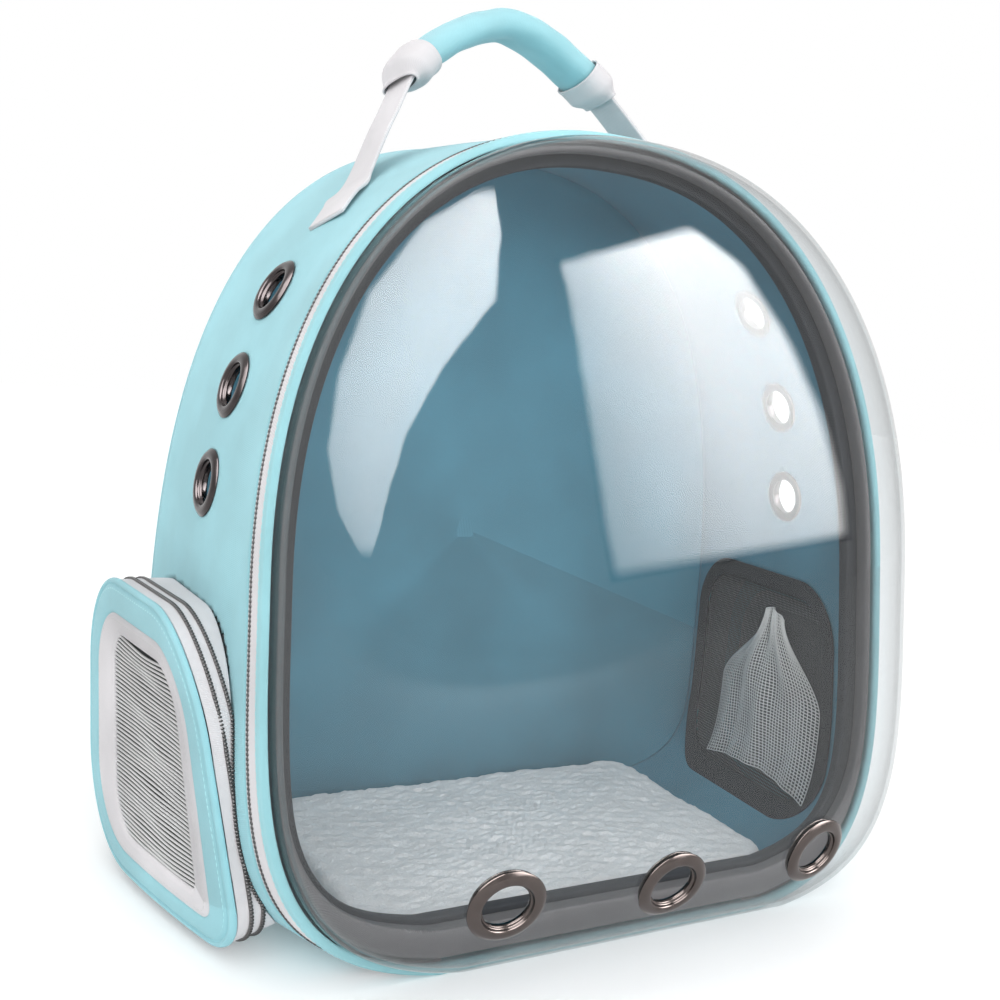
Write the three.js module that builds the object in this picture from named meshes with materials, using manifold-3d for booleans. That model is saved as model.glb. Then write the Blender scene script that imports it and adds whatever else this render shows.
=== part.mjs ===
// A pet carrier backpack with a clear bubble front, built from its named pieces.
// Millimetres, +Z up. X runs to the right and Y runs back; left means -X throughout. The pieces are laid
// out from the foot of the leaning front and then moved so that the origin is on the ground under the
// middle of the shell.
import * as THREE from 'three';
import { mergeVertices } from 'three/addons/utils/BufferGeometryUtils.js';
import Module from 'manifold-3d';

// Shell
const SHELL_HEIGHT = 400; // ground to crown, along the leaning front
const FRONT_WIDTH = 358;
const BACK_WIDTH = 373;
const SHELL_DEPTH = 198; // along the ground
const FRONT_LEAN = THREE.MathUtils.degToRad(7.4);
const FOOT_FLAT = 3; // how much of the rounded underside is pressed flat
const WALL = 2.5;
const BACK_PANEL = 4;
const GAP = 0.3; // between touching pieces

// The shell's outline from front to back: where it is widest and how square its crown and foot are.
// Places and heights are shares of the depth and the height, flare is a share of the way to BACK_WIDTH.
const SECTIONS = [
  { place: 0.0, flare: 0.0, waist: 0.455, crown: 2.22, foot: 4.1 },
  { place: 0.3, flare: 0.35, waist: 0.345, crown: 2.35, foot: 5.2 },
  { place: 1.0, flare: 1.0, waist: 0.255, crown: 2.64, foot: 4.8 },
];

// Front frame, stacked from the front plane back
const RIM_DEPTH = 9;
const RIM_WALL = 4.2;
const ZIP_DEPTH = 9;
const ZIP_WALL = 2;
const ZIP_RECESS = 0.4; // how far its tape lies in from the shell's outside
const HINGE_SPAN = 176; // the cloth hinge under the bubble, across
const HINGE_REACH = 0.2; // how far up the hinge could run, as a share of the shell's height
const BINDING_WIDTH = 11;
const BINDING_DEPTH = 5;
const GUARD_WIDTH = 9;

// Bubble
const DOME_BULGE = 77;
const DOME_WALL = 2;
const DOME_TUCK = 6; // how far its edge goes in behind the front plane
const DOME_POWER = { crown: 2.7, foot: 2.4, roll: 1.8 }; // how full the bulge is, upwards and downwards

// Eyelets
const SIDE_EYELET = { rim: 17, bore: 10.8, barrel: 12.6, lip: 1.6, chamfer: 1.2 };
const DOME_EYELET = { rim: 18, bore: 11.6, barrel: 13.4, lip: 1.6, chamfer: 1.2 };
// Heights and depths of the side ones, as shares of the shell's height and depth. The photo shows the
// right ones a little higher and further forward than the left ones.
const SIDE_EYELET_PLACES = [
  { name: 'left_upper', side: -1, height: 0.755, depth: 0.51 },
  { name: 'left_middle', side: -1, height: 0.635, depth: 0.52 },
  { name: 'left_lower', side: -1, height: 0.514, depth: 0.55 },
  { name: 'right_upper', side: 1, height: 0.795, depth: 0.43 },
  { name: 'right_middle', side: 1, height: 0.654, depth: 0.43 },
  { name: 'right_lower', side: 1, height: 0.515, depth: 0.45 },
];
// Across and up on the bubble, as shares of the front's half width and of the shell's height
const DOME_EYELET_PLACES = [
  { name: 'left', across: -0.48, up: 0.126 },
  { name: 'middle', across: 0, up: 0.116 },
  { name: 'right', across: 0.48, up: 0.126 },
];

// Side pockets
const POCKET_HEIGHT = 148;
const POCKET_LIFT = 5; // above the ground
const POCKET_FRONT_MARGIN = 12;
const POCKET_BACK_MARGIN = 5;
const POCKET_PROUD = 24; // how far its front top corner stands out past the front's half width
const POCKET_SPLAY = 15; // how much further the back of it stands out
const POCKET_HANG = { back: 8, front: 28 }; // how much nearer its foot comes in
const POCKET_TUCK = 30; // how far its foot rises towards the shell
const POCKET_CORNERS = { frontFoot: 10, frontTop: 36, backTop: 44, backFoot: 56 };
const LEAST_CORNER = 6; // of the outlines inside it
const POCKET_FACE = 3;
const POCKET_CLOTH = 2.2;
const POCKET_SEAM = 1; // from the face's edge in to the gusset
const POCKET_ROOT = 0.2; // where the gusset starts inside the face, as a share of the front's width
const POCKET_BAR = { inner: 0.25, outer: 1 }; // the bar that cuts its window, as shares of the front's width
// From the face's edges in to the grey border, and to the mesh inside it
const POCKET_HEM = { front: 19, foot: 12, back: 17, top: 18 };
const POCKET_WINDOW = { front: 30, foot: 21, back: 42, top: 27 };
const POCKET_MESH = 1.2;
const POCKET_ZIP = { width: 3.4, proud: 1.4, first: 5, pitch: 6.6 };
// From the pocket's outline in to the window in the shell
const WINDOW_MARGIN = { front: 13, foot: 18, back: 13, top: 13 };
const WINDOW_CORNER = 12;
const WINDOW_BINDING = { width: 8, thickness: 2 };
const WINDOW_MESH = 1.2;

// Mat
const MAT_BASE = { width: 274, thickness: 3.2, corner: 24 };
const MAT_PLUSH = { width: 246, thickness: 11, corner: 18 };
const MAT_BORDER = 5;
const MAT_SETBACK = 2.3; // behind the front frame

// Top handle
const WEB_WIDTH = 28;
const WEB_THICKNESS = 2;
// Where each foot lies on the shell, from its end to where it leaves the cloth
const HANDLE_FOOT = [
  { across: 131, depth: 87 },
  { across: 121, depth: 96 },
  { across: 111, depth: 106 },
];
const GRIP = { span: 96, rise: 64, depth: 145, flop: -27, width: 36, thickness: 17 };
const GRIP_ARCH = { left: 27, right: 17 }; // how far its ends lie below its middle
const SHOULDER = { share: 0.5, out: 2 }; // where the webbing bends between its foot and the grip
const CUFF = { lap: 13, past: 3.75, wall: 1.5 }; // over the grip's end, and past it
const SLOT_ROOM = 0.6; // round the webbing, in the grip
const SLEEVE_ROOM = 0.9; // round the grip, in the cuffs
const WEB_STEPS = 40;
const GRIP_STATIONS = { first: 16, last: 24 }; // of the webbing's steps, where the grip lies

// Shoulder straps and what takes them up, down the back panel
const STRAP = { width: 58, thickness: 9, bow: 34 };
const STRAP_WEB = { width: 25, thickness: 1.8 };
const ADJUSTER = { width: 36, length: 22, thickness: 8, slack: 1 };
// The right strap's line: out from the middle and up as shares of the back's half width and of the
// shell's height, off the panel as a share of the bow. Zero lies flat on the panel.
const STRAP_LINE = [
  { out: 0.23, up: 0.89, off: 0 },
  { out: 0.24, up: 0.84, off: 0 },
  { out: 0.32, up: 0.68, off: 0.85 },
  { out: 0.39, up: 0.5, off: 1 },
  { out: 0.44, up: 0.34, off: 0.75 },
  { out: 0.56, up: 0.2, off: 0.38 },
  { out: 0.68, up: 0.085, off: 0 },
  { out: 0.715, up: 0.055, off: 0 },
];
const PAD_END = 4; // the row where the padded part ends and the webbing begins
const STRAP_STEPS = { pad: 10, web: 12 };
const PAD_SIDES = 8;

// How finely round shapes are cut
const OUTLINE_POINTS = 44;
const EYELET_SIDES = 12;
const CORNER_STEPS = 3;
const REAR_STATION = 0.65; // one more loop along the shell, as a share of its depth
const FACET_ROOM = 0.8; // what a curved wall's facets need under an eyelet's lips

const COLORS = {
  aqua: 0xa3dde3,
  grey: 0xd8d7d8,
  binding: 0x66686b,
  black: 0x2b3034,
  metal: 0x5a5350,
  plush: 0xcfd1d6,
  clear: 0xe8f2f6,
};

const wasm = await Module();
wasm.setup();

const { lerp, clamp } = THREE.MathUtils;

// Interpolates one column of SECTIONS at a share of the depth.
function sectionValue(column, share) {
  const place = clamp(share, 0, 1);
  const next = Math.max(1, SECTIONS.findIndex((row) => row.place >= place));
  const [a, b] = [SECTIONS[next - 1], SECTIONS[next]];
  return lerp(a[column], b[column], (place - a.place) / (b.place - a.place));
}

// The outline's point at an angle, in the plane of the section at a depth: [across, up].
function outlinePoint(angle, depth) {
  const share = depth / SHELL_DEPTH;
  const half = lerp(FRONT_WIDTH, BACK_WIDTH, sectionValue('flare', share)) / 2;
  const waist = SHELL_HEIGHT * sectionValue('waist', share);
  const [c, s] = [Math.cos(angle), Math.sin(angle)];
  const power = sectionValue(s > 0 ? 'crown' : 'foot', share);
  const reach = (Math.abs(c) ** power + Math.abs(s) ** power) ** (-1 / power);
  const tall = s > 0 ? SHELL_HEIGHT - waist : waist;
  return [half * reach * c, waist + tall * reach * s];
}

// The same point moved inwards along the outline's normal, with the underside pressed flat.
function insetPoint(angle, depth, inset) {
  const step = 0.01;
  const [x, z] = outlinePoint(angle, depth);
  const [x0, z0] = outlinePoint(angle - step, depth);
  const [x1, z1] = outlinePoint(angle + step, depth);
  const length = Math.hypot(x1 - x0, z1 - z0);
  const across = x - (inset * (z1 - z0)) / length;
  const up = z + (inset * (x1 - x0)) / length;
  return [across, Math.max(inset, up - FOOT_FLAT)];
}

const STACK = RIM_DEPTH + ZIP_DEPTH + 2 * GAP;

// Puts a section's point into space: sections lean with the front frame and stand upright at the back.
function place([across, up], depth) {
  if (depth < 0) {
    const back = up * Math.sin(FRONT_LEAN) + depth * Math.cos(FRONT_LEAN);
    return new THREE.Vector3(across, back, up * Math.cos(FRONT_LEAN) - depth * Math.sin(FRONT_LEAN));
  }
  const stay = 1 - Math.max(0, depth - STACK) / (SHELL_DEPTH - STACK);
  const back = depth + up * Math.sin(FRONT_LEAN) * stay;
  return new THREE.Vector3(across, back, up * lerp(1, Math.cos(FRONT_LEAN), stay));
}

const shellPoint = (angle, depth, inset) => place(insetPoint(angle, depth, inset), depth);
const outlineAngle = (i) => (2 * Math.PI * i) / OUTLINE_POINTS;
const outlineLoop = (depth, inset) =>
  Array.from({ length: OUTLINE_POINTS }, (_, i) => shellPoint(outlineAngle(i), depth, inset));

// Finds the angle between two others at which a measured value is the one wanted.
function findAngle(measure, wanted, low, high) {
  const rising = measure(high) > measure(low);
  let [a, b] = [low, high];
  for (let i = 0; i < 50; i += 1) {
    const middle = (a + b) / 2;
    if (measure(middle) < wanted === rising) a = middle;
    else b = middle;
  }
  return (a + b) / 2;
}

// Signed volume of a triangle soup, to turn its faces outwards.
function signedVolume(points, faces) {
  const cross = new THREE.Vector3();
  return faces.reduce((sum, [a, b, c]) => sum + cross.crossVectors(points[a], points[b]).dot(points[c]), 0);
}

function geometryFrom(points, faces) {
  const turned = signedVolume(points, faces) < 0 ? faces.map(([a, b, c]) => [a, c, b]) : faces;
  const geometry = new THREE.BufferGeometry();
  geometry.setAttribute('position', new THREE.Float32BufferAttribute(points.flatMap((p) => p.toArray()), 3));
  geometry.setIndex(turned.flat());
  return geometry;
}

// Joins loops of equal length into one skin, each cell split along its shorter diagonal so that skins
// side by side bend alike. Open ends are capped, or the last loop joins the first.
function loft(loops, closed = false) {
  const count = loops[0].length;
  const points = loops.flat();
  const faces = [];
  const bands = closed ? loops.length : loops.length - 1;
  for (let j = 0; j < bands; j += 1) {
    const [near, far] = [j * count, ((j + 1) % loops.length) * count];
    for (let i = 0; i < count; i += 1) {
      const k = (i + 1) % count;
      const [a, b, c, d] = [near + i, near + k, far + k, far + i];
      if (points[a].distanceTo(points[c]) < points[b].distanceTo(points[d])) faces.push([a, b, c], [a, c, d]);
      else faces.push([a, b, d], [b, c, d]);
    }
  }
  if (!closed) {
    const last = (loops.length - 1) * count;
    for (let i = 1; i < count - 1; i += 1) {
      faces.push([0, i + 1, i], [last, last + i, last + i + 1]);
    }
  }
  return geometryFrom(points, faces);
}

function solid(geometry) {
  const bare = geometry.clone();
  bare.deleteAttribute('normal');
  bare.deleteAttribute('uv');
  const merged = mergeVertices(bare, 1e-4);
  return new wasm.Manifold(new wasm.Mesh({
    numProp: 3,
    vertProperties: new Float32Array(merged.attributes.position.array),
    triVerts: new Uint32Array(merged.index.array),
  }));
}

function geometryOf(body) {
  const mesh = body.getMesh();
  const geometry = new THREE.BufferGeometry();
  geometry.setAttribute('position', new THREE.BufferAttribute(new Float32Array(mesh.vertProperties), 3));
  geometry.setIndex(new THREE.BufferAttribute(new Uint32Array(mesh.triVerts), 1));
  return geometry;
}

const cut = (geometry, ...tools) =>
  geometryOf(tools.reduce((body, tool) => body.subtract(solid(tool)), solid(geometry)));
const common = (geometry, tool) => geometryOf(solid(geometry).intersect(solid(tool)));

const object = new THREE.Group();

function add(name, geometry, color, finish = {}) {
  const look = { color: COLORS[color], roughness: 0.8, metalness: 0, ...finish };
  const material = new THREE.MeshStandardMaterial(look);
  const mesh = new THREE.Mesh(geometry, material);
  mesh.name = name;
  object.add(mesh);
}

// A band round the shell. Its corners are [depth, inset] pairs.
const band = (corners) => loft(corners.map(([depth, inset]) => outlineLoop(depth, inset)), true);

// The depths at which every skin and room along the shell has a loop, so that their facets agree.
function stationsBetween(front, back) {
  const rear = SHELL_DEPTH - BACK_PANEL;
  const bends = SECTIONS.slice(1, -1).map((row) => row.place * SHELL_DEPTH);
  const middles = [STACK, ...bends, REAR_STATION * SHELL_DEPTH, rear - GAP, rear];
  const inside = middles.filter((depth) => depth > front && depth < back);
  return [front, ...inside, back];
}

// The room that the shell takes, grown by a clearance. Negative clearances give the room inside it.
const shellRoom = (grow, front = 0, back = SHELL_DEPTH) =>
  loft(stationsBetween(front, back).map((depth) => outlineLoop(depth, -grow)));

// A closed skin that follows the shell's side from behind the front frame to the back panel.
function shellSkin(outer, inner) {
  const stations = stationsBetween(STACK, SHELL_DEPTH - BACK_PANEL - GAP);
  const out = stations.map((depth) => [depth, outer]);
  const back = stations.map((depth) => [depth, inner]).reverse();
  return band([...out, ...back]);
}

// The bubble's surface: its edge outline shrinks towards the waist as it comes forward.
function domePoint(angle, turn, inset) {
  const [x0, z0] = insetPoint(angle, 0, RIM_WALL + GAP + inset);
  const waist = SHELL_HEIGHT * SECTIONS[0].waist;
  const upward = (Math.sin(angle) + 1) / 2;
  const power = lerp(DOME_POWER.foot, DOME_POWER.crown, upward * upward * (3 - 2 * upward));
  const out = Math.sin(turn);
  const shrink = (1 - out ** power) ** (1 / DOME_POWER.roll);
  return place([x0 * shrink, waist + (z0 - waist) * shrink], -(DOME_BULGE - inset) * out);
}

const DOME_TURNS = [0, 12, 24, 37, 50, 63, 77].map(THREE.MathUtils.degToRad);

function domeSkin(inset) {
  const edge = outlineLoop(DOME_TUCK, RIM_WALL + GAP + inset);
  const rows = DOME_TURNS.map((turn) =>
    Array.from({ length: OUTLINE_POINTS }, (_, i) => domePoint(outlineAngle(i), turn, inset)));
  return [edge, ...rows];
}

// Point and outward normal on the bubble at a place given across and up.
function domeSeat(across, up) {
  const spot = (angle, turn) => domePoint(angle, turn, 0);
  const angleAt = (turn) => {
    const side = (angle) => spot(angle, turn).x;
    return findAngle(side, across, -Math.PI, 0);
  };
  const height = (turn) => spot(angleAt(turn), turn).z;
  const [edge, apex] = [0.02, 1.3];
  const turn = findAngle(height, up, edge, apex);
  return surfaceSeat(spot, angleAt(turn), turn);
}

// Point, normal and sag of a surface at its two parameters.
function surfaceSeat(surface, u, v) {
  const step = 0.02;
  const point = surface(u, v);
  const alongU = surface(u + step, v).sub(surface(u - step, v));
  const alongV = surface(u, v + step).sub(surface(u, v - step));
  const normal = alongU.cross(alongV).normalize();
  const centre = new THREE.Vector3(0, SHELL_DEPTH / 2, SHELL_HEIGHT / 2);
  if (normal.dot(point.clone().sub(centre)) < 0) normal.negate();
  return { point, normal };
}

// How far a surface falls away from its seat within a radius.
function sagWithin(surface, u, v, seat, radius) {
  let sag = 0;
  for (const [du, dv] of [[1, 0], [-1, 0], [0, 1], [0, -1]]) {
    const step = 0.01;
    const speed = surface(u + du * step, v + dv * step).distanceTo(seat.point) / step;
    const reach = radius / speed;
    const away = surface(u + du * reach, v + dv * reach).sub(seat.point);
    sag = Math.max(sag, Math.abs(away.dot(seat.normal)));
  }
  return sag;
}

// Turns +Z of a piece to a seat's normal and moves it to its point.
function onSeat(geometry, seat) {
  const turn = new THREE.Quaternion().setFromUnitVectors(new THREE.Vector3(0, 0, 1), seat.normal);
  const placed = geometry.clone().applyQuaternion(turn);
  return placed.translate(seat.point.x, seat.point.y, seat.point.z);
}

const circle = (radius, height) =>
  Array.from({ length: EYELET_SIDES }, (_, i) => {
    const angle = (2 * Math.PI * i) / EYELET_SIDES;
    return new THREE.Vector3(radius * Math.cos(angle), radius * Math.sin(angle), height);
  });

// A two-lipped metal ring that clasps a wall, with room for the wall's curve under its lips.
function eyeletRing(size, wall, sag) {
  const upper = GAP + FACET_ROOM;
  const lower = -wall - sag - GAP - FACET_ROOM;
  const profile = [
    [size.bore, upper + size.lip],
    [size.rim - size.chamfer, upper + size.lip],
    [size.rim, upper],
    [size.barrel, upper],
    [size.barrel, lower],
    [size.rim, lower],
    [size.rim - size.chamfer, lower - size.lip],
    [size.bore, lower - size.lip],
  ];
  return loft(profile.map(([radius, height]) => circle(radius, height)), true);
}

const eyeletHole = (size) => loft([-size.rim, size.rim].map((height) => circle(size.barrel + GAP, height)));

// The side eyelets' seats.
function sideSeats() {
  return SIDE_EYELET_PLACES.map(({ name, side, height, depth }) => {
    const surface = (angle, back) => shellPoint(angle, back * SHELL_DEPTH, 0);
    const measure = (angle) => surface(angle, depth).z;
    const right = findAngle(measure, height * SHELL_HEIGHT, -Math.PI / 2, Math.PI / 2);
    const angle = side > 0 ? right : Math.PI - right;
    const seat = surfaceSeat(surface, angle, depth);
    return {
      name: `eyelet_${name}`,
      seat,
      sag: sagWithin(surface, angle, depth, seat, SIDE_EYELET.rim),
    };
  });
}

function domeSeats() {
  return DOME_EYELET_PLACES.map((row) => {
    const seat = domeSeat((row.across * FRONT_WIDTH) / 2, row.up * SHELL_HEIGHT);
    return { name: `eyelet_bubble_${row.name}`, seat };
  });
}

// A flat outline from its low corner to its high corner. Its four radii go round from the corner that is
// far along and low.
function roundedOutline(low, high, radii, steps = CORNER_STEPS) {
  const [farLow, farHigh, nearHigh, nearLow] = radii;
  const corners = [
    [high[0] - farLow, low[1] + farLow, farLow, -Math.PI / 2],
    [high[0] - farHigh, high[1] - farHigh, farHigh, 0],
    [low[0] + nearHigh, high[1] - nearHigh, nearHigh, Math.PI / 2],
    [low[0] + nearLow, low[1] + nearLow, nearLow, Math.PI],
  ];
  return corners.flatMap(([a, b, radius, start]) =>
    Array.from({ length: steps + 1 }, (_, i) => {
      const angle = start + (Math.PI / 2) * (i / steps);
      return [a + radius * Math.cos(angle), b + radius * Math.sin(angle)];
    }));
}

const POCKET_LENGTH = SHELL_DEPTH - STACK - POCKET_FRONT_MARGIN - POCKET_BACK_MARGIN;

const even = (margin) => ({ front: margin, foot: margin, back: margin, top: margin });
const grown = (margins, by) =>
  Object.fromEntries(Object.entries(margins).map(([edge, margin]) => [edge, margin + by]));

// The pocket's outline, inset by four margins, as [along, up] from its front foot.
function pocketOutline(margins, corner) {
  const { front, foot, back, top } = margins;
  const { frontFoot, frontTop, backTop, backFoot } = POCKET_CORNERS;
  const radius = (full, a, b) => corner ?? Math.max(LEAST_CORNER, full - (a + b) / 2);
  const radii = [
    radius(backFoot, back, foot),
    radius(backTop, back, top),
    radius(frontTop, front, top),
    radius(frontFoot, front, foot),
  ];
  return roundedOutline([front, foot], [POCKET_LENGTH - back, POCKET_HEIGHT - top], radii);
}

// Puts a pocket point into space: its front edge leans with the front frame, its face hangs and splays.
function pocketPoint(side, [along, up], out) {
  const z = POCKET_LIFT + up;
  const front = z * Math.tan(FRONT_LEAN) + STACK + POCKET_FRONT_MARGIN;
  const back = SHELL_DEPTH - POCKET_BACK_MARGIN;
  const share = along / POCKET_LENGTH;
  const hang = lerp(POCKET_HANG.back, POCKET_HANG.front, (1 - share) ** 2) * (1 - up / POCKET_HEIGHT);
  const x = FRONT_WIDTH / 2 + POCKET_PROUD + POCKET_SPLAY * share - hang + out;
  return new THREE.Vector3(side * x, lerp(front, back, share), z);
}

const POCKET_DEEP = POCKET_PROUD + FRONT_WIDTH * POCKET_ROOT; // from its face in to where its walls start
const tuckAt = (out) => (POCKET_TUCK * Math.max(0, -out - POCKET_FACE)) / (POCKET_DEEP - POCKET_FACE);

// The outline in space, at a distance out from the face.
function pocketLoop(side, margins, out) {
  const raised = { ...margins, foot: margins.foot + tuckAt(out) };
  return pocketOutline(raised).map((p) => pocketPoint(side, p, out));
}

// The same outline as a straight bar across the shell, from inside it to well outside.
function pocketBar(side, margins, corner) {
  const outline = pocketOutline(margins, corner);
  const ends = [POCKET_BAR.inner, POCKET_BAR.outer].map((share) =>
    outline.map((p) => pocketPoint(side, p, 0).setX(side * share * FRONT_WIDTH)));
  return loft(ends);
}

function pocketRing(side, margins, outs) {
  const [m0, m1] = margins;
  const [o0, o1] = outs;
  return loft([
    pocketLoop(side, m0, o1),
    pocketLoop(side, m0, o0),
    pocketLoop(side, m1, o0),
    pocketLoop(side, m1, o1),
  ], true);
}

function buildShell() {
  const holes = sideSeats().map(({ seat }) => onSeat(eyeletHole(SIDE_EYELET), seat));
  const windows = [-1, 1].map((side) => pocketBar(side, WINDOW_MARGIN, WINDOW_CORNER));
  add('side_band', cut(shellSkin(0, WALL), ...holes, ...windows), 'aqua');
  const back = [SHELL_DEPTH - BACK_PANEL, SHELL_DEPTH];
  add('back_panel', loft(back.map((depth) => outlineLoop(depth, 0))), 'aqua');
}

function buildFrontFrame() {
  const zip = [RIM_DEPTH + GAP, RIM_DEPTH + GAP + ZIP_DEPTH];
  const tape = ZIP_RECESS + ZIP_WALL;
  const strip = band([[zip[0], ZIP_RECESS], [zip[1], ZIP_RECESS], [zip[1], tape], [zip[0], tape]]);
  const hingeBar = (span) => new THREE.BoxGeometry(span, SHELL_DEPTH, 2 * HINGE_REACH * SHELL_HEIGHT);
  add('front_rim', band([[0, 0], [RIM_DEPTH, 0], [RIM_DEPTH, RIM_WALL], [0, RIM_WALL]]), 'aqua');
  add('main_zip', cut(strip, hingeBar(HINGE_SPAN)), 'grey');
  add('hinge_cloth', common(strip, hingeBar(HINGE_SPAN - 2 * GAP)), 'aqua');
  const edge = RIM_WALL + GAP;
  const inner = edge + DOME_WALL + GAP;
  const seat = DOME_TUCK + GAP;
  add('bubble_binding', band([
    [seat - BINDING_DEPTH, inner],
    [seat, inner],
    [seat, edge],
    [RIM_DEPTH, edge],
    [RIM_DEPTH, inner + BINDING_WIDTH],
    [seat - BINDING_DEPTH, inner + BINDING_WIDTH],
  ]), 'binding');
  const under = tape + GAP;
  add('shell_binding', band([
    [zip[0], under],
    [zip[1], under],
    [zip[1], under + GUARD_WIDTH],
    [zip[0], under + GUARD_WIDTH],
  ]), 'black');
}

function buildBubble() {
  const outer = domeSkin(0);
  const inner = domeSkin(DOME_WALL).reverse();
  const seats = domeSeats();
  const holes = seats.map(({ seat }) => onSeat(eyeletHole(DOME_EYELET), seat));
  add('bubble', cut(loft([...inner, ...outer]), ...holes), 'clear', { roughness: 0.05 });
  const sag = DOME_EYELET.rim ** 2 / (2 * DOME_BULGE);
  seats.forEach(({ name, seat }) => {
    add(name, onSeat(eyeletRing(DOME_EYELET, DOME_WALL, sag), seat), 'metal', { roughness: 0.3, metalness: 1 });
  });
}

function buildSideEyelets() {
  sideSeats().forEach(({ name, seat, sag }) => {
    add(name, onSeat(eyeletRing(SIDE_EYELET, WALL, sag), seat), 'metal', { roughness: 0.3, metalness: 1 });
  });
}

function buildPocket(side) {
  const name = side > 0 ? 'right' : 'left';
  const room = shellRoom(GAP);
  const thick = [-POCKET_FACE, 0];
  add(`pocket_${name}_face`, pocketRing(side, [even(0), POCKET_HEM], thick), 'aqua');
  const border = pocketRing(side, [grown(POCKET_HEM, GAP), POCKET_WINDOW], thick);
  add(`pocket_${name}_border`, border, 'grey');
  const window = grown(POCKET_WINDOW, GAP);
  const middle = -(POCKET_FACE + POCKET_MESH) / 2;
  const sheet = [middle, middle + POCKET_MESH].map((out) => pocketLoop(side, window, out));
  add(`pocket_${name}_mesh`, loft(sheet), 'binding');
  const cloth = [POCKET_SEAM, POCKET_SEAM + POCKET_CLOTH].map(even);
  const wall = pocketRing(side, cloth, [-POCKET_DEEP, -POCKET_FACE - GAP]);
  add(`pocket_${name}_gusset`, cut(wall, room), 'grey');
  const coil = [POCKET_SEAM - GAP - POCKET_ZIP.proud, POCKET_SEAM - GAP].map(even);
  ['outer', 'inner'].forEach((row, i) => {
    const out = -POCKET_FACE - POCKET_ZIP.first - i * POCKET_ZIP.pitch;
    const ring = pocketRing(side, coil, [out - POCKET_ZIP.width, out]);
    add(`pocket_${name}_zip_${row}`, cut(ring, room), 'black');
  });
}

function buildWindow(side) {
  const name = side > 0 ? 'right' : 'left';
  const { width, thickness } = WINDOW_BINDING;
  const skin = shellSkin(WALL + GAP, WALL + GAP + thickness);
  const frame = common(skin, pocketBar(side, grown(WINDOW_MARGIN, -width), WINDOW_CORNER + width));
  add(`window_${name}_binding`, cut(frame, pocketBar(side, WINDOW_MARGIN, WINDOW_CORNER)), 'black');
  const middle = (WALL - WINDOW_MESH) / 2;
  const sheet = shellSkin(middle, middle + WINDOW_MESH);
  const bar = pocketBar(side, grown(WINDOW_MARGIN, GAP), WINDOW_CORNER - GAP);
  add(`window_${name}_mesh`, common(sheet, bar), 'binding');
}

// A slab with round corners, trimmed to the room inside the shell.
function floorSlab(size, bottom, front, back) {
  const radii = Array(4).fill(size.corner);
  const outline = roundedOutline([-size.width / 2, front], [size.width / 2, back], radii);
  const faces = [bottom, bottom + size.thickness].map((z) =>
    outline.map(([x, y]) => new THREE.Vector3(x, y, z)));
  const room = shellRoom(-WALL - GAP, STACK, SHELL_DEPTH - BACK_PANEL - GAP);
  return common(loft(faces), room);
}

function buildMat() {
  const front = STACK + GAP + MAT_SETBACK;
  const back = SHELL_DEPTH - BACK_PANEL - 2 * GAP - MAT_BORDER;
  const bottom = WALL + GAP;
  add('mat_base', floorSlab(MAT_BASE, bottom, front, back), 'binding');
  const top = bottom + MAT_BASE.thickness + GAP;
  add('mat_plush', floorSlab(MAT_PLUSH, top, front + MAT_BORDER, back - MAT_BORDER), 'plush');
}

// Carries a flat section along a curve. The section's first coordinate runs along the given side
// direction and its second one across it, outwards.
function sweep(curve, stations, section, sideways) {
  return stations.map((u) => {
    const tangent = curve.getTangent(u);
    const side = sideways.clone().addScaledVector(tangent, -sideways.dot(tangent)).normalize();
    const out = new THREE.Vector3().crossVectors(side, tangent).normalize();
    return section.map(([a, b]) =>
      curve.getPoint(u).addScaledVector(side, a).addScaledVector(out, b));
  });
}

const evenly = (from, to, steps) => Array.from({ length: steps + 1 }, (_, i) => lerp(from, to, i / steps));
const flatSection = (width, thickness) => [
  [-width / 2, -thickness / 2],
  [width / 2, -thickness / 2],
  [width / 2, thickness / 2],
  [-width / 2, thickness / 2],
];

function ovalSection(width, thickness, sides) {
  return Array.from({ length: sides }, (_, i) => {
    const angle = (2 * Math.PI * i) / sides;
    return [(width / 2) * Math.cos(angle), (thickness / 2) * Math.sin(angle)];
  });
}

// A point on the shell's crown at a distance across, raised off the cloth.
function crownPoint(across, depth, raise) {
  const side = Math.sign(across);
  const right = findAngle((a) => shellPoint(a, depth, -raise).x, Math.abs(across), Math.PI / 2, 0);
  return shellPoint(side > 0 ? right : Math.PI - right, depth, -raise);
}

const HANDLE_SIDE = new THREE.Vector3(0, 1, 0);

// The handle's middle line: up from the left foot, over the grip and down to the right foot.
function handleCurve() {
  const crown = shellPoint(Math.PI / 2, HANDLE_FOOT[0].depth, 0).z;
  const peak = new THREE.Vector3(GRIP.flop, GRIP.depth, crown + GRIP.rise);
  const ends = [[-1, GRIP_ARCH.left], [1, GRIP_ARCH.right]].map(([side, drop]) =>
    peak.clone().add(new THREE.Vector3((side * GRIP.span) / 2, 0, -drop)));
  const raise = GAP + WEB_THICKNESS / 2;
  const foot = (side) => HANDLE_FOOT.map(({ across, depth }) => crownPoint(side * across, depth, raise));
  const shoulder = (side, end) => {
    const [, , leaving] = foot(side);
    return leaving.lerp(end, SHOULDER.share).add(new THREE.Vector3(side * SHOULDER.out, 0, 0));
  };
  const route = [
    ...foot(-1),
    shoulder(-1, ends[0]),
    ends[0],
    peak,
    ends[1],
    shoulder(1, ends[1]),
    ...foot(1).reverse(),
  ];
  return new THREE.CatmullRomCurve3(route, false, 'centripetal');
}

// A sleeve along a curve, with an oval outside and a hole of the given section.
function sleeve(curve, stations, width, thickness, hole) {
  const outer = ovalSection(width, thickness, hole.length);
  const out = sweep(curve, stations, outer, HANDLE_SIDE);
  return loft([...out, ...sweep(curve, stations, hole, HANDLE_SIDE).reverse()], true);
}

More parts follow.
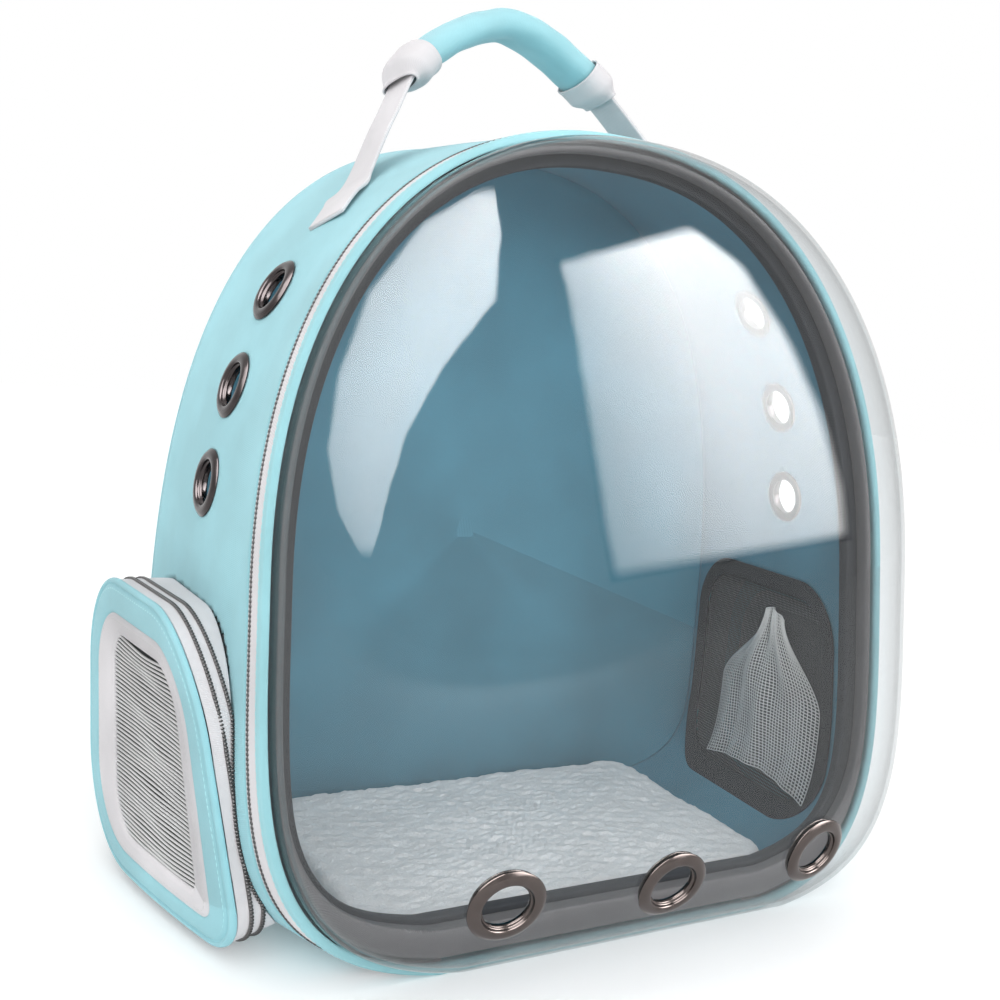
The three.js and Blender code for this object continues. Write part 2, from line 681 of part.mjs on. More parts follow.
// A flat slot's section in twelve points, to pair with an oval of twelve.
function slotSection(width, thickness) {
  const half = [[1, 0], [1, 1], [0.5, 1], [0, 1], [-0.5, 1], [-1, 1]];
  return [...half, ...half.map(([a, b]) => [-a, -b])].map(([a, b]) => [(a * width) / 2, (b * thickness) / 2]);
}

function buildHandle() {
  const curve = handleCurve();
  const web = flatSection(WEB_WIDTH, WEB_THICKNESS);
  const room = shellRoom(GAP);
  add('handle_webbing', cut(loft(sweep(curve, evenly(0, 1, WEB_STEPS), web, HANDLE_SIDE)), room), 'grey');
  const [start, end] = [GRIP_STATIONS.first, GRIP_STATIONS.last].map((station) => station / WEB_STEPS);
  const along = evenly(start, end, GRIP_STATIONS.last - GRIP_STATIONS.first);
  const slot = slotSection(WEB_WIDTH + 2 * SLOT_ROOM, WEB_THICKNESS + 2 * SLOT_ROOM);
  add('handle_grip', sleeve(curve, along, GRIP.width, GRIP.thickness, slot), 'aqua');
  const [lap, past] = [CUFF.lap, CUFF.past].map((size) => size / curve.getLength());
  const inside = [GRIP.width, GRIP.thickness].map((size) => size + 2 * SLEEVE_ROOM);
  const outside = inside.map((size) => size + 2 * CUFF.wall);
  const hole = ovalSection(...inside, slot.length);
  add('handle_cuff_left', sleeve(curve, evenly(start - past, start + lap, 2), ...outside, hole), 'grey');
  add('handle_cuff_right', sleeve(curve, evenly(end - lap, end + past, 2), ...outside, hole), 'grey');
}

// The strap's line down the panel. Its flat ends lie on the panel by half the thickness given there.
function strapCurve(side) {
  return new THREE.CatmullRomCurve3(STRAP_LINE.map((row, i) => {
    const thickness = i <= PAD_END ? STRAP.thickness : STRAP_WEB.thickness;
    const back = SHELL_DEPTH + GAP + thickness / 2 + row.off * STRAP.bow;
    return new THREE.Vector3((side * row.out * BACK_WIDTH) / 2, back, row.up * SHELL_HEIGHT);
  }), false, 'centripetal');
}

function buildStrap(side) {
  const name = side > 0 ? 'right' : 'left';
  const across = new THREE.Vector3(side, 0, 0);
  const curve = strapCurve(side);
  const length = curve.getLength();
  const end = PAD_END / (STRAP_LINE.length - 1);
  const pad = ovalSection(STRAP.width, STRAP.thickness, PAD_SIDES);
  const room = shellRoom(GAP, 0, SHELL_DEPTH + GAP);
  const cushion = loft(sweep(curve, evenly(0, end, STRAP_STEPS.pad), pad, across));
  add(`strap_${name}_pad`, cut(cushion, room), 'aqua');
  const start = end + (2 * GAP) / length;
  const stop = start + ADJUSTER.length / length;
  const outside = flatSection(ADJUSTER.width, ADJUSTER.thickness);
  const through = [STRAP_WEB.width, STRAP_WEB.thickness].map((size) => size + 2 * ADJUSTER.slack);
  const [shell, slot] = [outside, flatSection(...through)].map((section) =>
    sweep(curve, [start, stop], section, across));
  add(`strap_${name}_adjuster`, loft([...shell, ...slot.reverse()], true), 'black');
  const web = flatSection(STRAP_WEB.width, STRAP_WEB.thickness);
  const tail = loft(sweep(curve, evenly(start, 1, STRAP_STEPS.web), web, across));
  add(`strap_${name}_webbing`, cut(tail, room), 'grey');
}

buildShell();
buildFrontFrame();
buildBubble();
buildSideEyelets();
[-1, 1].forEach(buildPocket);
[-1, 1].forEach(buildWindow);
buildMat();
buildHandle();
[-1, 1].forEach(buildStrap);
object.position.y = -SHELL_DEPTH / 2;

export default object;
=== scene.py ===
"""A pet carrier backpack with a clear bubble door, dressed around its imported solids.

Every surface is worked out in millimetres on a grid of two parameters and becomes a mesh in
metres. X runs to the right, Y runs back and Z runs up; left means -X.
"""

from __future__ import annotations

import logging
import math
from dataclasses import dataclass, field
from enum import Enum
from functools import lru_cache
from typing import Callable, Sequence

import bpy
import numpy as np
from mathutils import Matrix, Vector
from mathutils.bvhtree import BVHTree

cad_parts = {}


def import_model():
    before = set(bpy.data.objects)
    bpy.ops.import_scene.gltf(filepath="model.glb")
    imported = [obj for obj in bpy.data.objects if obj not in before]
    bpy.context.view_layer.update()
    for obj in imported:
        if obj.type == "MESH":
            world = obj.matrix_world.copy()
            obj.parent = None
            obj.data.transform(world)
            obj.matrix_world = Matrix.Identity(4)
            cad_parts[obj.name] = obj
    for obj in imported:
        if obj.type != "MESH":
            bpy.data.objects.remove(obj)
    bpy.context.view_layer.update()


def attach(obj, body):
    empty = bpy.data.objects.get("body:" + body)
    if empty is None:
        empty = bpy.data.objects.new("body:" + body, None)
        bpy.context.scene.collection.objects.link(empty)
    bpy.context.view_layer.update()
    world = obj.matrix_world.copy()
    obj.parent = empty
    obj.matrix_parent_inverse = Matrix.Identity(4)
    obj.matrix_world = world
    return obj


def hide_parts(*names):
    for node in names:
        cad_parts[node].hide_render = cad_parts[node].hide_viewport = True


LOG = logging.getLogger("carrier")
BODY = "root"
MM = 0.001
TURN = 2.0 * math.pi
GAP = 0.3
WHITE = (1.0, 1.0, 1.0, 1.0)
WAVES = 7
WAVE_REACH = 3.2
SLUB_SCALES = ((90.0, 1100.0, 1.0), (1100.0, 90.0, 1.0))
SIDEWAYS_GUESS = (0.31, 0.77, 0.55)
BAG_MIDDLE = (0.0, 0.0, 200.0)
Array = np.ndarray


# Surfaces


@dataclass
class Grid:
    """A surface as rows and columns of points, in millimetres.

    rows_join and columns_join close it on itself, first_pole and last_pole close its end rows
    with a fan, keep marks the cells that stay, slot is its place among the piece's finishes and
    outwards is the way that an open surface faces.
    """

    points: Array
    rows_join: bool = False
    columns_join: bool = False
    first_pole: bool = False
    last_pole: bool = False
    keep: Array | None = None
    slot: int | Array = 0
    outwards: Array | None = None

    def thread(self) -> Array:
        """Lengths along the columns and the rows, one more where the grid joins itself."""
        rows, columns = self.points.shape[:2]
        across = np.linalg.norm(np.roll(self.points, -1, axis=1) - self.points, axis=2)
        along = np.linalg.norm(np.roll(self.points, -1, axis=0) - self.points, axis=2)
        u = np.concatenate([np.zeros((rows, 1)), np.cumsum(across, axis=1)], axis=1)
        v = np.concatenate([np.zeros((1, columns)), np.cumsum(along, axis=0)], axis=0)
        u = np.concatenate([u, u[:1]], axis=0)
        v = np.concatenate([v, v[:, :1]], axis=1)
        return np.stack([u - u.mean(), v], axis=2)

    def cells(self) -> tuple[Array, Array]:
        """The corner indices and the thread coordinates of each kept cell."""
        rows, columns = self.points.shape[:2]
        i = np.arange(rows if self.rows_join else rows - 1)[:, None]
        j = np.arange(columns if self.columns_join else columns - 1)[None, :]
        i, j = np.broadcast_arrays(i, j)
        steps = ((0, 0), (0, 1), (1, 1), (1, 0))
        corners = np.stack([(i + a) % rows * columns + (j + b) % columns for a, b in steps], axis=2)
        thread = self.thread()
        uv = np.stack([thread[i + a, j + b] for a, b in steps], axis=2)
        mask = np.ones(i.shape, bool) if self.keep is None else self.keep
        return corners[mask], uv[mask]

    def fans(self) -> tuple[Array, Array]:
        """Pole points and the triangles that join them to the end rows."""
        rows, columns = self.points.shape[:2]
        poles, faces = [], []
        for wanted, row, turned in ((self.first_pole, 0, True), (self.last_pole, rows - 1, False)):
            if not wanted:
                continue
            start = row * columns + np.arange(columns)
            end = np.roll(start, -1)
            pole = np.full(columns, rows * columns + len(poles))
            faces.append(np.stack([end, start, pole] if turned else [start, end, pole], axis=1))
            poles.append(self.points[row].mean(axis=0))
        joined = np.concatenate(faces) if faces else np.zeros((0, 3), int)
        return np.array(poles).reshape(-1, 3), joined

    def slots(self) -> Array:
        """The finish of each kept cell, then of each fan triangle, which is that of its end row."""
        rows, columns = self.points.shape[:2]
        cells = (rows if self.rows_join else rows - 1, columns if self.columns_join else columns - 1)
        slot = np.broadcast_to(self.slot, cells)
        poles = ((self.first_pole, 0), (self.last_pole, -1))
        ends = [slot[row, 0] for wanted, row in poles if wanted]
        kept = slot.ravel() if self.keep is None else slot[self.keep]
        return np.concatenate([kept, np.repeat(np.array(ends, int), columns)])


def turned_out(points: Array, quads: Array, fans: Array, outwards: Array | None) -> bool:
    """Says whether faces already point outwards.

    Args:
        points: all points of one surface.
        quads: its four-cornered faces.
        fans: its three-cornered faces.
        outwards: a direction that an open surface faces; None for a closed one, whose volume decides.
    """
    triangles = np.concatenate([quads[:, [0, 1, 2]], quads[:, [0, 2, 3]], fans])
    a, b, c = (points[triangles[:, k]] for k in range(3))
    if outwards is None:
        return float(np.einsum("ij,ij->i", np.cross(a, b), c).sum()) >= 0.0
    return float((np.cross(b - a, c - a) @ outwards).sum()) >= 0.0


def mesh_of(name: str, grids: Sequence[Grid]) -> bpy.types.Object:
    """Puts grids into one mesh object, with their thread lengths as its UV map.

    Args:
        name: the piece's name.
        grids: its surfaces.

    Returns:
        The object, linked to the scene, with smooth faces that point outwards.
    """
    points, loops, sizes, uvs, slots = [], [], [], [], []
    base = 0
    for grid in grids:
        quads, uv = grid.cells()
        poles, fans = grid.fans()
        own = np.concatenate([grid.points.reshape(-1, 3), poles])
        if not turned_out(own, quads, fans, grid.outwards):
            quads, uv, fans = quads[:, ::-1], uv[:, ::-1], fans[:, ::-1]
        points.append(own)
        loops += [(quads + base).ravel(), (fans + base).ravel()]
        sizes += [np.full(len(quads), 4), np.full(len(fans), 3)]
        uvs += [uv.reshape(-1, 2), own[fans.ravel()][:, :2]]
        slots.append(grid.slots())
        base += len(own)
    return object_from(name, *(np.concatenate(part) for part in (points, loops, sizes, uvs, slots)))


def object_from(name: str, points: Array, loops: Array, sizes: Array, uvs: Array | None,
                slots: Array | None) -> bpy.types.Object:
    """Makes a mesh object from whole arrays, in millimetres."""
    mesh = bpy.data.meshes.new(name)
    mesh.vertices.add(len(points))
    mesh.vertices.foreach_set("co", (points * MM).astype(np.float32).ravel())
    mesh.loops.add(len(loops))
    mesh.loops.foreach_set("vertex_index", loops.astype(np.int32))
    mesh.polygons.add(len(sizes))
    starts = np.concatenate([[0], np.cumsum(sizes)[:-1]])
    mesh.polygons.foreach_set("loop_start", starts.astype(np.int32))
    if slots is not None:
        mesh.polygons.foreach_set("material_index", slots.astype(np.int32))
    mesh.update(calc_edges=True)
    mesh.validate()
    mesh.polygons.foreach_set("use_smooth", np.ones(len(mesh.polygons), bool))
    if uvs is not None and len(mesh.loops) == len(uvs):
        layer = mesh.uv_layers.new(name="thread")
        layer.uv.foreach_set("vector", (uvs * MM).astype(np.float32).ravel())
    piece = bpy.data.objects.new(name, mesh)
    bpy.context.scene.collection.objects.link(piece)
    return piece


def copies(shape: Array, faces: Array, places: Array, frames: Array) -> tuple[Array, Array, Array]:
    """Repeats one small shape at many places.

    Args:
        shape: its points, n x 3.
        faces: its four-cornered faces, m x 4.
        places: k x 3 origins.
        frames: k x 3 x 3, the directions of the shape's X, Y and Z at each place, as rows.

    Returns:
        All points, all loops and all face sizes.
    """
    points = places[:, None, :] + np.einsum("nc,kcd->knd", shape, frames)
    loops = faces[None, :, :] + (np.arange(len(places)) * len(shape))[:, None, None]
    return points.reshape(-1, 3), loops.ravel(), np.full(len(places) * len(faces), 4)


def pill(length: float, width: float, height: float) -> tuple[Array, Array]:
    """A small block along X: four-sided sections at four stations, smaller at both ends."""
    stations = np.array([-0.5, -0.32, 0.32, 0.5]) * length
    taper = (0.55, 1.0, 1.0, 0.55)
    ring = np.array([[-1, -1], [1, -1], [1, 1], [-1, 1]]) * [width * 0.5, height * 0.48]
    points = [np.column_stack([np.full(4, x), ring * share]) for x, share in zip(stations, taper)]
    sides = [[4 * i + j, 4 * i + (j + 1) % 4, 4 * i + 4 + (j + 1) % 4, 4 * i + 4 + j]
             for i in range(3) for j in range(4)]
    faces = np.array(sides + [[3, 2, 1, 0], [12, 13, 14, 15]])[:, ::-1]
    return np.concatenate(points), faces


def unit(vectors: Array) -> Array:
    """Vectors of length one along the last axis."""
    return vectors / np.maximum(np.linalg.norm(vectors, axis=-1, keepdims=True), 1e-12)


def lerp(a: Array | float, b: Array | float, share: Array | float) -> Array | float:
    """A value between a and b by a share."""
    return a + (b - a) * share


def smooth_step(value: Array | float, low: float, high: float) -> Array:
    """Rises from 0 at low to 1 at high with flat ends: 3 t^2 - 2 t^3."""
    t = np.clip((np.asarray(value, float) - low) / (high - low), 0.0, 1.0)
    return t * t * (3.0 - 2.0 * t)


def ripple(points: Array, pitch: float, seed: int) -> Array:
    """Soft dents in the range of about -1 to 1: a sum of seven sine waves in seeded directions.

    Args:
        points: where, in millimetres.
        pitch: the mean distance between crests.
        seed: picks the directions and phases.
    """
    source = np.random.default_rng(seed)
    total = np.zeros(points.shape[:-1])
    for _ in range(WAVES):
        way = unit(source.normal(size=3)) * TURN / (pitch * source.uniform(0.7, 1.5))
        total += np.sin(points @ way + source.uniform(0.0, TURN))
    return total / WAVE_REACH


def circle(count: int) -> Array:
    """Even points round a circle of radius one, as count x 2."""
    angle = np.linspace(0.0, TURN, count, endpoint=False)
    return np.column_stack([np.cos(angle), np.sin(angle)])


def oval(count: int, size: tuple[float, float], powers: tuple[float, float]) -> Array:
    """A closed oval section; powers under one make it fuller at its corners."""
    ring = circle(count)
    return np.sign(ring) * np.abs(ring) ** np.array(powers) * np.array(size) / 2


def rounded_profile(low: tuple[float, float], high: tuple[float, float], radius: float,
                    steps: int = 4) -> Array:
    """A closed box profile with round corners, as n x 2."""
    radius = min(radius, (high[0] - low[0]) * 0.49, (high[1] - low[1]) * 0.49)
    rows = []
    for a, b, start in ((high[0], low[1], -0.25), (high[0], high[1], 0.0),
                        (low[0], high[1], 0.25), (low[0], low[1], 0.5)):
        angle = TURN * (start + 0.25 * np.arange(steps + 1) / steps)
        middle = np.array([a - radius if a == high[0] else a + radius,
                           b - radius if b == high[1] else b + radius])
        rows.append(middle + radius * np.column_stack([np.cos(angle), np.sin(angle)]))
    return np.concatenate(rows)


def box_section(width: float, thickness: float, radius: float, steps: int = 2) -> Array:
    """A closed box profile about its own middle."""
    return rounded_profile((-width / 2, -thickness / 2), (width / 2, thickness / 2), radius, steps)


def softened(profile: Sequence | Array, passes: int = 2) -> Array:
    """A closed profile with each side cut at a quarter and at three quarters, again and again."""
    profile = np.array(profile)
    for _ in range(passes):
        after = np.roll(profile, -1, axis=0)
        profile = np.stack([0.75 * profile + 0.25 * after, 0.25 * profile + 0.75 * after], axis=1)
        profile = profile.reshape(-1, profile.shape[-1])
    return profile


def curve_through(knots: Array, places: Array) -> Array:
    """A centripetal spline: each stretch is a cubic whose end slopes weigh the neighbours.

    Args:
        knots: n x 3.
        places: where on it, from 0 at the first knot to 1 at the last, even in knots.
    """
    padded = np.concatenate([[2 * knots[0] - knots[1]], knots, [2 * knots[-1] - knots[-2]]])
    spot = np.clip(np.asarray(places, float), 0.0, 1.0) * (len(knots) - 1)
    index = np.minimum(spot.astype(int), len(knots) - 2)
    t = (spot - index)[:, None]
    p0, p1, p2, p3 = (padded[index + k] for k in range(4))
    pairs = ((p0, p1), (p1, p2), (p2, p3))
    d0, d1, d2 = (np.sqrt(np.linalg.norm(b - a, axis=1, keepdims=True)) for a, b in pairs)
    slope1 = ((p1 - p0) / d0 - (p2 - p0) / (d0 + d1) + (p2 - p1) / d1) * d1
    slope2 = ((p2 - p1) / d1 - (p3 - p1) / (d1 + d2) + (p3 - p2) / d2) * d1
    bend = -3 * p1 + 3 * p2 - 2 * slope1 - slope2
    return p1 + slope1 * t + bend * t**2 + (2 * p1 - 2 * p2 + slope1 + slope2) * t**3


def path_frames(path: Array, sideways: Array, closed: bool = False) -> tuple[Array, Array, Array]:
    """Tangent, side and outward directions along a path.

    Args:
        path: n x 3 points.
        sideways: the wished side direction, 3 or n x 3, made square to the path.
        closed: whether the last point joins the first.
    """
    if closed:
        tangent = unit(np.roll(path, -1, axis=0) - np.roll(path, 1, axis=0))
    else:
        tangent = unit(np.gradient(path, axis=0))
    side = np.broadcast_to(sideways, path.shape)
    side = unit(side - tangent * np.sum(side * tangent, axis=1, keepdims=True))
    return tangent, side, unit(np.cross(side, tangent))


def carried(path: Array, sideways: Array, profile: Array, closed: bool = False, slot: int = 0,
            swell: Array | None = None) -> Grid:
    """Carries a closed profile of points (a, b) along a path: path + side * a + outward * b.

    Args:
        path: n x 3 points.
        sideways: direction of the profile's first coordinate.
        profile: m x 2.
        closed: whether the path joins itself.
        slot: the finish.
        swell: optional n x 2 factors on the profile along the path.
    """
    _, side, out = path_frames(path, sideways, closed)
    shape = np.broadcast_to(profile, (len(path),) + profile.shape)
    if swell is not None:
        shape = shape * swell[:, None, :]
    points = path[:, None] + side[:, None] * shape[..., :1] + out[:, None] * shape[..., 1:]
    return Grid(points, rows_join=closed, columns_join=True, first_pole=not closed,
                last_pole=not closed, slot=slot)


def even_spots(path: Array, pitch: float, closed: bool) -> Array:
    """Points along a path at an even pitch."""
    line = np.concatenate([path, path[:1]]) if closed else path
    length = np.concatenate([[0.0], np.cumsum(np.linalg.norm(np.diff(line, axis=0), axis=1))])
    count = max(2, int(round(length[-1] / pitch)))
    wanted = np.arange(count) * length[-1] / count if closed else np.linspace(0.0, length[-1], count)
    return np.column_stack([np.interp(wanted, length, line[:, k]) for k in range(3)])


def blocks_along(name: str, path: Array, outward: Array, pitch: float,
                 size: tuple[float, float, float], closed: bool = True, crosswise: bool = False,
                 lift: float = 0.0) -> bpy.types.Object:
    """Small blocks in a row along a path: stitches lie along it, zip teeth across it.

    Args:
        name: the piece's name.
        path: n x 3 points.
        outward: the outward direction, 3 or n x 3.
        pitch: from block to block.
        size: a block's length, width and height.
        closed: whether the path joins itself.
        crosswise: whether the blocks lie across the path.
        lift: how far they stand off the path.
    """
    shape, faces = pill(*size)
    spots = even_spots(path, pitch, closed)
    tangent, _, _ = path_frames(spots, np.array(SIDEWAYS_GUESS), closed)
    distance = ((spots[:, None, :] - path[None, ::4, :]) ** 2).sum(axis=2)
    out = np.broadcast_to(outward, path.shape)[np.argmin(distance, axis=1) * 4]
    out = unit(out - tangent * np.sum(out * tangent, axis=1, keepdims=True))
    beside = np.cross(out, tangent)
    frames = np.stack([beside, -tangent, out] if crosswise else [tangent, beside, out], axis=1)
    points, loops, sizes = copies(shape, faces, spots + out * lift, frames)
    return object_from(name, points, loops, sizes, np.zeros((len(loops), 2)), None)


# Finishes


def linear(colour: Sequence[float]) -> tuple[float, float, float, float]:
    """An sRGB colour as the linear one that shaders take."""
    values = [c / 12.92 if c <= 0.04045 else ((c + 0.055) / 1.055) ** 2.4 for c in colour]
    return (values[0], values[1], values[2], 1.0)


def toned(colour: Sequence[float], share: float) -> tuple[float, float, float, float]:
    """A colour times a share, at most white, as shaders take it."""
    return linear([min(1.0, c * share) for c in colour])


class Nodes:
    """Adds and joins the nodes of one material."""

    def __init__(self, name: str) -> None:
        """Starts a material with an output only."""
        self.material = bpy.data.materials.new(name)
        self.material.use_nodes = True
        self.tree = self.material.node_tree
        self.tree.nodes.clear()
        self.output = self.tree.nodes.new("ShaderNodeOutputMaterial")

    def new(self, kind: str, values: dict | None = None, **settings: object) -> bpy.types.Node:
        """A node with its settings, and with its inputs set or joined.

        Args:
            kind: the node's type.
            values: input name or number to a value or to an output socket.
            settings: the node's own properties.
        """
        node = self.tree.nodes.new(kind)
        for name, value in settings.items():
            setattr(node, name, value)
        for name, value in (values or {}).items():
            if isinstance(value, bpy.types.NodeSocket):
                self.tree.links.new(value, node.inputs[name])
            else:
                node.inputs[name].default_value = value
        return node

    def math(self, operation: str, a: object, b: object = 0.0) -> bpy.types.NodeSocket:
        """The result of one Math node."""
        return self.new("ShaderNodeMath", {0: a, 1: b}, operation=operation).outputs[0]

    def thread(self) -> tuple[bpy.types.NodeSocket, bpy.types.NodeSocket, bpy.types.NodeSocket]:
        """The piece's own thread coordinates in metres: the vector, across and along."""
        uv = self.new("ShaderNodeUVMap", uv_map="thread").outputs[0]
        parts = self.new("ShaderNodeSeparateXYZ", {0: uv})
        return uv, parts.outputs[0], parts.outputs[1]

    def place(self) -> bpy.types.NodeSocket:
        """Object coordinates, in metres."""
        return self.new("ShaderNodeTexCoord").outputs["Object"]

    def noise(self, vector: object, scale: float, detail: float = 3.0) -> bpy.types.NodeSocket:
        """Noise from 0 to 1."""
        values = {"Vector": vector, "Scale": scale, "Detail": detail}
        return self.new("ShaderNodeTexNoise", values).outputs[0]

    def wave(self, length: object, pitch: float) -> bpy.types.NodeSocket:
        """The sine of a length, one turn a pitch, from -1 to 1."""
        return self.math("SINE", self.math("MULTIPLY", length, TURN / pitch))

    def range(self, value: object, low: float, high: float, to_low: float,
              to_high: float) -> bpy.types.NodeSocket:
        """A value moved from one range to another."""
        values = {0: value, 1: low, 2: high, 3: to_low, 4: to_high}
        return self.new("ShaderNodeMapRange", values).outputs[0]

    def blend(self, share: object, a: object, b: object) -> bpy.types.NodeSocket:
        """A colour between two, by a share."""
        node = self.new("ShaderNodeMix", data_type="RGBA")
        for index, value in ((0, share), (6, a), (7, b)):
            if isinstance(value, bpy.types.NodeSocket):
                self.tree.links.new(value, node.inputs[index])
            else:
                node.inputs[index].default_value = value
        return node.outputs[2]

    def bump(self, height: object, distance: float, strength: float = 1.0,
             under: object | None = None) -> bpy.types.NodeSocket:
        """A bump of a height of 0 to 1 over a distance in metres."""
        values = {"Height": height, "Distance": distance, "Strength": strength}
        if under is not None:
            values["Normal"] = under
        return self.new("ShaderNodeBump", values).outputs[0]

    def surface(self, **values: object) -> bpy.types.Material:
        """Ends the material with a Principled shader."""
        named = {name.replace("_", " "): value for name, value in values.items()}
        shader = self.new("ShaderNodeBsdfPrincipled", named)
        self.tree.links.new(shader.outputs[0], self.output.inputs[0])
        return self.material


class Thread(Enum):
    """How a cloth's threads lie."""

    PLAIN = "plain"
    TWILL = "twill"
    RIBBED = "ribbed"


@dataclass(frozen=True)
class Cloth:
    """A woven finish: its colour, thread and how uneven it is."""

    name: str
    colour: tuple[float, float, float]
    thread: Thread = Thread.PLAIN
    pitch: float = 0.9
    depth: float = 0.16
    slub: float = 0.35
    mottle: float = 0.05
    wrinkle: float = 0.35
    roughness: float = 0.78
    sheen: float = 0.15

    def build(self) -> bpy.types.Material:
        """Crossing sine waves are the threads, stretched noise the slub, wide noise the mottling."""
        kit = Nodes(self.name)
        vector, across, along = kit.thread()
        pitch = self.pitch * MM
        if self.thread is Thread.PLAIN:
            weave = kit.math("MULTIPLY", kit.wave(across, pitch), kit.wave(along, pitch))
        elif self.thread is Thread.TWILL:
            weave = kit.wave(kit.math("ADD", across, kit.math("MULTIPLY", along, 0.6)), pitch)
        else:
            ribs = kit.range(kit.wave(across, pitch * 0.8), -1, 1, 0.6, 1)
            weave = kit.math("MULTIPLY", kit.wave(along, pitch), ribs)
        height = kit.range(weave, -1.0, 1.0, 0.0, 1.0)
        stretched = [kit.new("ShaderNodeMapping", {"Vector": vector, "Scale": scale}).outputs[0]
                     for scale in SLUB_SCALES]
        slubs = [kit.noise(place, 1.0, 2.0) for place in stretched]
        slub = kit.math("MULTIPLY", kit.math("ADD", *slubs), 0.5)
        height = kit.blend(self.slub, height, slub)
        wide = kit.noise(kit.place(), 14.0, 4.0)
        spread = self.mottle * 6
        shade = kit.blend(kit.range(wide, 0.35, 0.65, 0.5 - spread, 0.5 + spread),
                          toned(self.colour, 0.90), toned(self.colour, 1.06))
        # Painted shade: the low parts of the weave, between the threads, are darkened to 0.84 of the
        # colour.
        shade = kit.blend(kit.range(height, 0.15, 0.75, 0.35, 0.0), shade, toned(self.colour, 0.84))
        bump = kit.bump(height, self.depth * MM, 0.9)
        bump = kit.bump(kit.noise(kit.place(), 60.0, 3.0), 0.0006, self.wrinkle, bump)
        return kit.surface(Base_Color=shade, Roughness=self.roughness, Sheen_Weight=self.sheen,
                           Sheen_Roughness=0.45, Specular_IOR_Level=0.25, Normal=bump)


@dataclass(frozen=True)
class Moulded:
    """A plain moulded or plated finish with fine unevenness."""

    name: str
    colour: tuple[float, float, float]
    metallic: float = 0.0
    roughness: float = 0.3
    uneven: float = 0.06
    grain: float = 0.0

    def build(self) -> bpy.types.Material:
        """Noise moves the roughness and the colour a little."""
        kit = Nodes(self.name)
        cloud = kit.noise(kit.place(), 180.0, 3.0)
        rough = kit.range(cloud, 0.3, 0.7, self.roughness - self.uneven, self.roughness + self.uneven)
        shade = kit.blend(cloud, toned(self.colour, 0.88), linear(self.colour))
        values = dict(Base_Color=shade, Roughness=rough, Metallic=self.metallic)
        if self.grain:
            values["Normal"] = kit.bump(kit.noise(kit.place(), 900.0, 2.0), self.grain * MM, 0.6)
        return kit.surface(**values)


@dataclass(frozen=True)
class Plush:
    """Short soft pile."""

    name: str
    colour: tuple[float, float, float]

    def build(self) -> bpy.types.Material:
        """Fine noise stands for the tips of the pile, wide noise for how it lies."""
        kit = Nodes(self.name)
        place = kit.place()
        tips = kit.noise(place, 900.0, 4.0)
        lie = kit.noise(place, 45.0, 4.0)
        shade = kit.blend(kit.range(tips, 0.3, 0.7, 0.0, 1.0), toned(self.colour, 0.93),
                          linear(self.colour))
        shade = kit.blend(kit.range(lie, 0.42, 0.58, 0.0, 0.4), shade, toned(self.colour, 0.9))
        bump = kit.bump(tips, 0.0012, 0.7)
        bump = kit.bump(lie, 0.003, 0.5, bump)
        return kit.surface(Base_Color=shade, Roughness=0.95, Sheen_Weight=0.5, Sheen_Roughness=0.5,
                           Specular_IOR_Level=0.1, Normal=bump)


@dataclass(frozen=True)
class Clear:
    """Clear moulded plastic: it lets light straight through and mirrors more at a glancing angle."""

    name: str
    tint: tuple[float, float, float]
    roughness: float = 0.03
    least: float = 0.022
    power: float = 6.5

    def build(self) -> bpy.types.Material:
        """The mirrored share is least + (1 - least) * facing^power; Schlick's power is 5."""
        kit = Nodes(self.name)
        facing = kit.new("ShaderNodeLayerWeight", {"Blend": 0.5}).outputs["Facing"]
        share = kit.math("POWER", facing, self.power)
        share = kit.math("MULTIPLY_ADD", share, 1.0 - self.least)
        share.node.inputs[2].default_value = self.least
        edge = kit.math("POWER", facing, 3.0)
        tint = kit.blend(edge, linear(self.tint), toned(self.tint, 0.82))
        through = kit.new("ShaderNodeBsdfTransparent", {"Color": tint})
        mirror = kit.new("ShaderNodeBsdfGlossy", {"Roughness": self.roughness, "Color": WHITE})
        shaders = {0: share, 1: through.outputs[0], 2: mirror.outputs[0]}
        mixed = kit.new("ShaderNodeMixShader", shaders)
        kit.tree.links.new(mixed.outputs[0], kit.output.inputs[0])
        return kit.material


@dataclass(frozen=True)
class Glow:
    """A softbox's cloth: light that fades at its edges, to a share at its left and at its foot."""

    name: str
    strength: float
    left: float = 1.0
    low: float = 0.55
    fade: float = 0.05

    def build(self) -> bpy.types.Material:
        """Emission times a soft edge in the lamp's own UV map, 0 to 1 across and up."""
        kit = Nodes(self.name)
        _, across, up = kit.thread()
        edges = []
        for side in (across, up):
            away = kit.math("ABSOLUTE", kit.math("SUBTRACT", side, 0.5))
            edges.append(kit.range(away, 0.5, 0.5 - self.fade, 0.0, 1.0))
        falling = kit.math("MULTIPLY", kit.range(up, 0.0, 1.0, 1.0, self.low),
                           kit.range(across, 0.0, 0.6, self.left, 1.0))
        power = kit.math("MULTIPLY", kit.math("MULTIPLY", *edges),
                         kit.math("MULTIPLY", falling, self.strength))
        light = kit.new("ShaderNodeEmission", {"Strength": power})
        kit.tree.links.new(light.outputs[0], kit.output.inputs[0])
        return kit.material


Finish = Cloth | Moulded | Plush | Clear | Glow


@lru_cache(maxsize=None)
def material_of(finish: Finish) -> bpy.types.Material:
    """The finish's material, made once."""
    return finish.build()


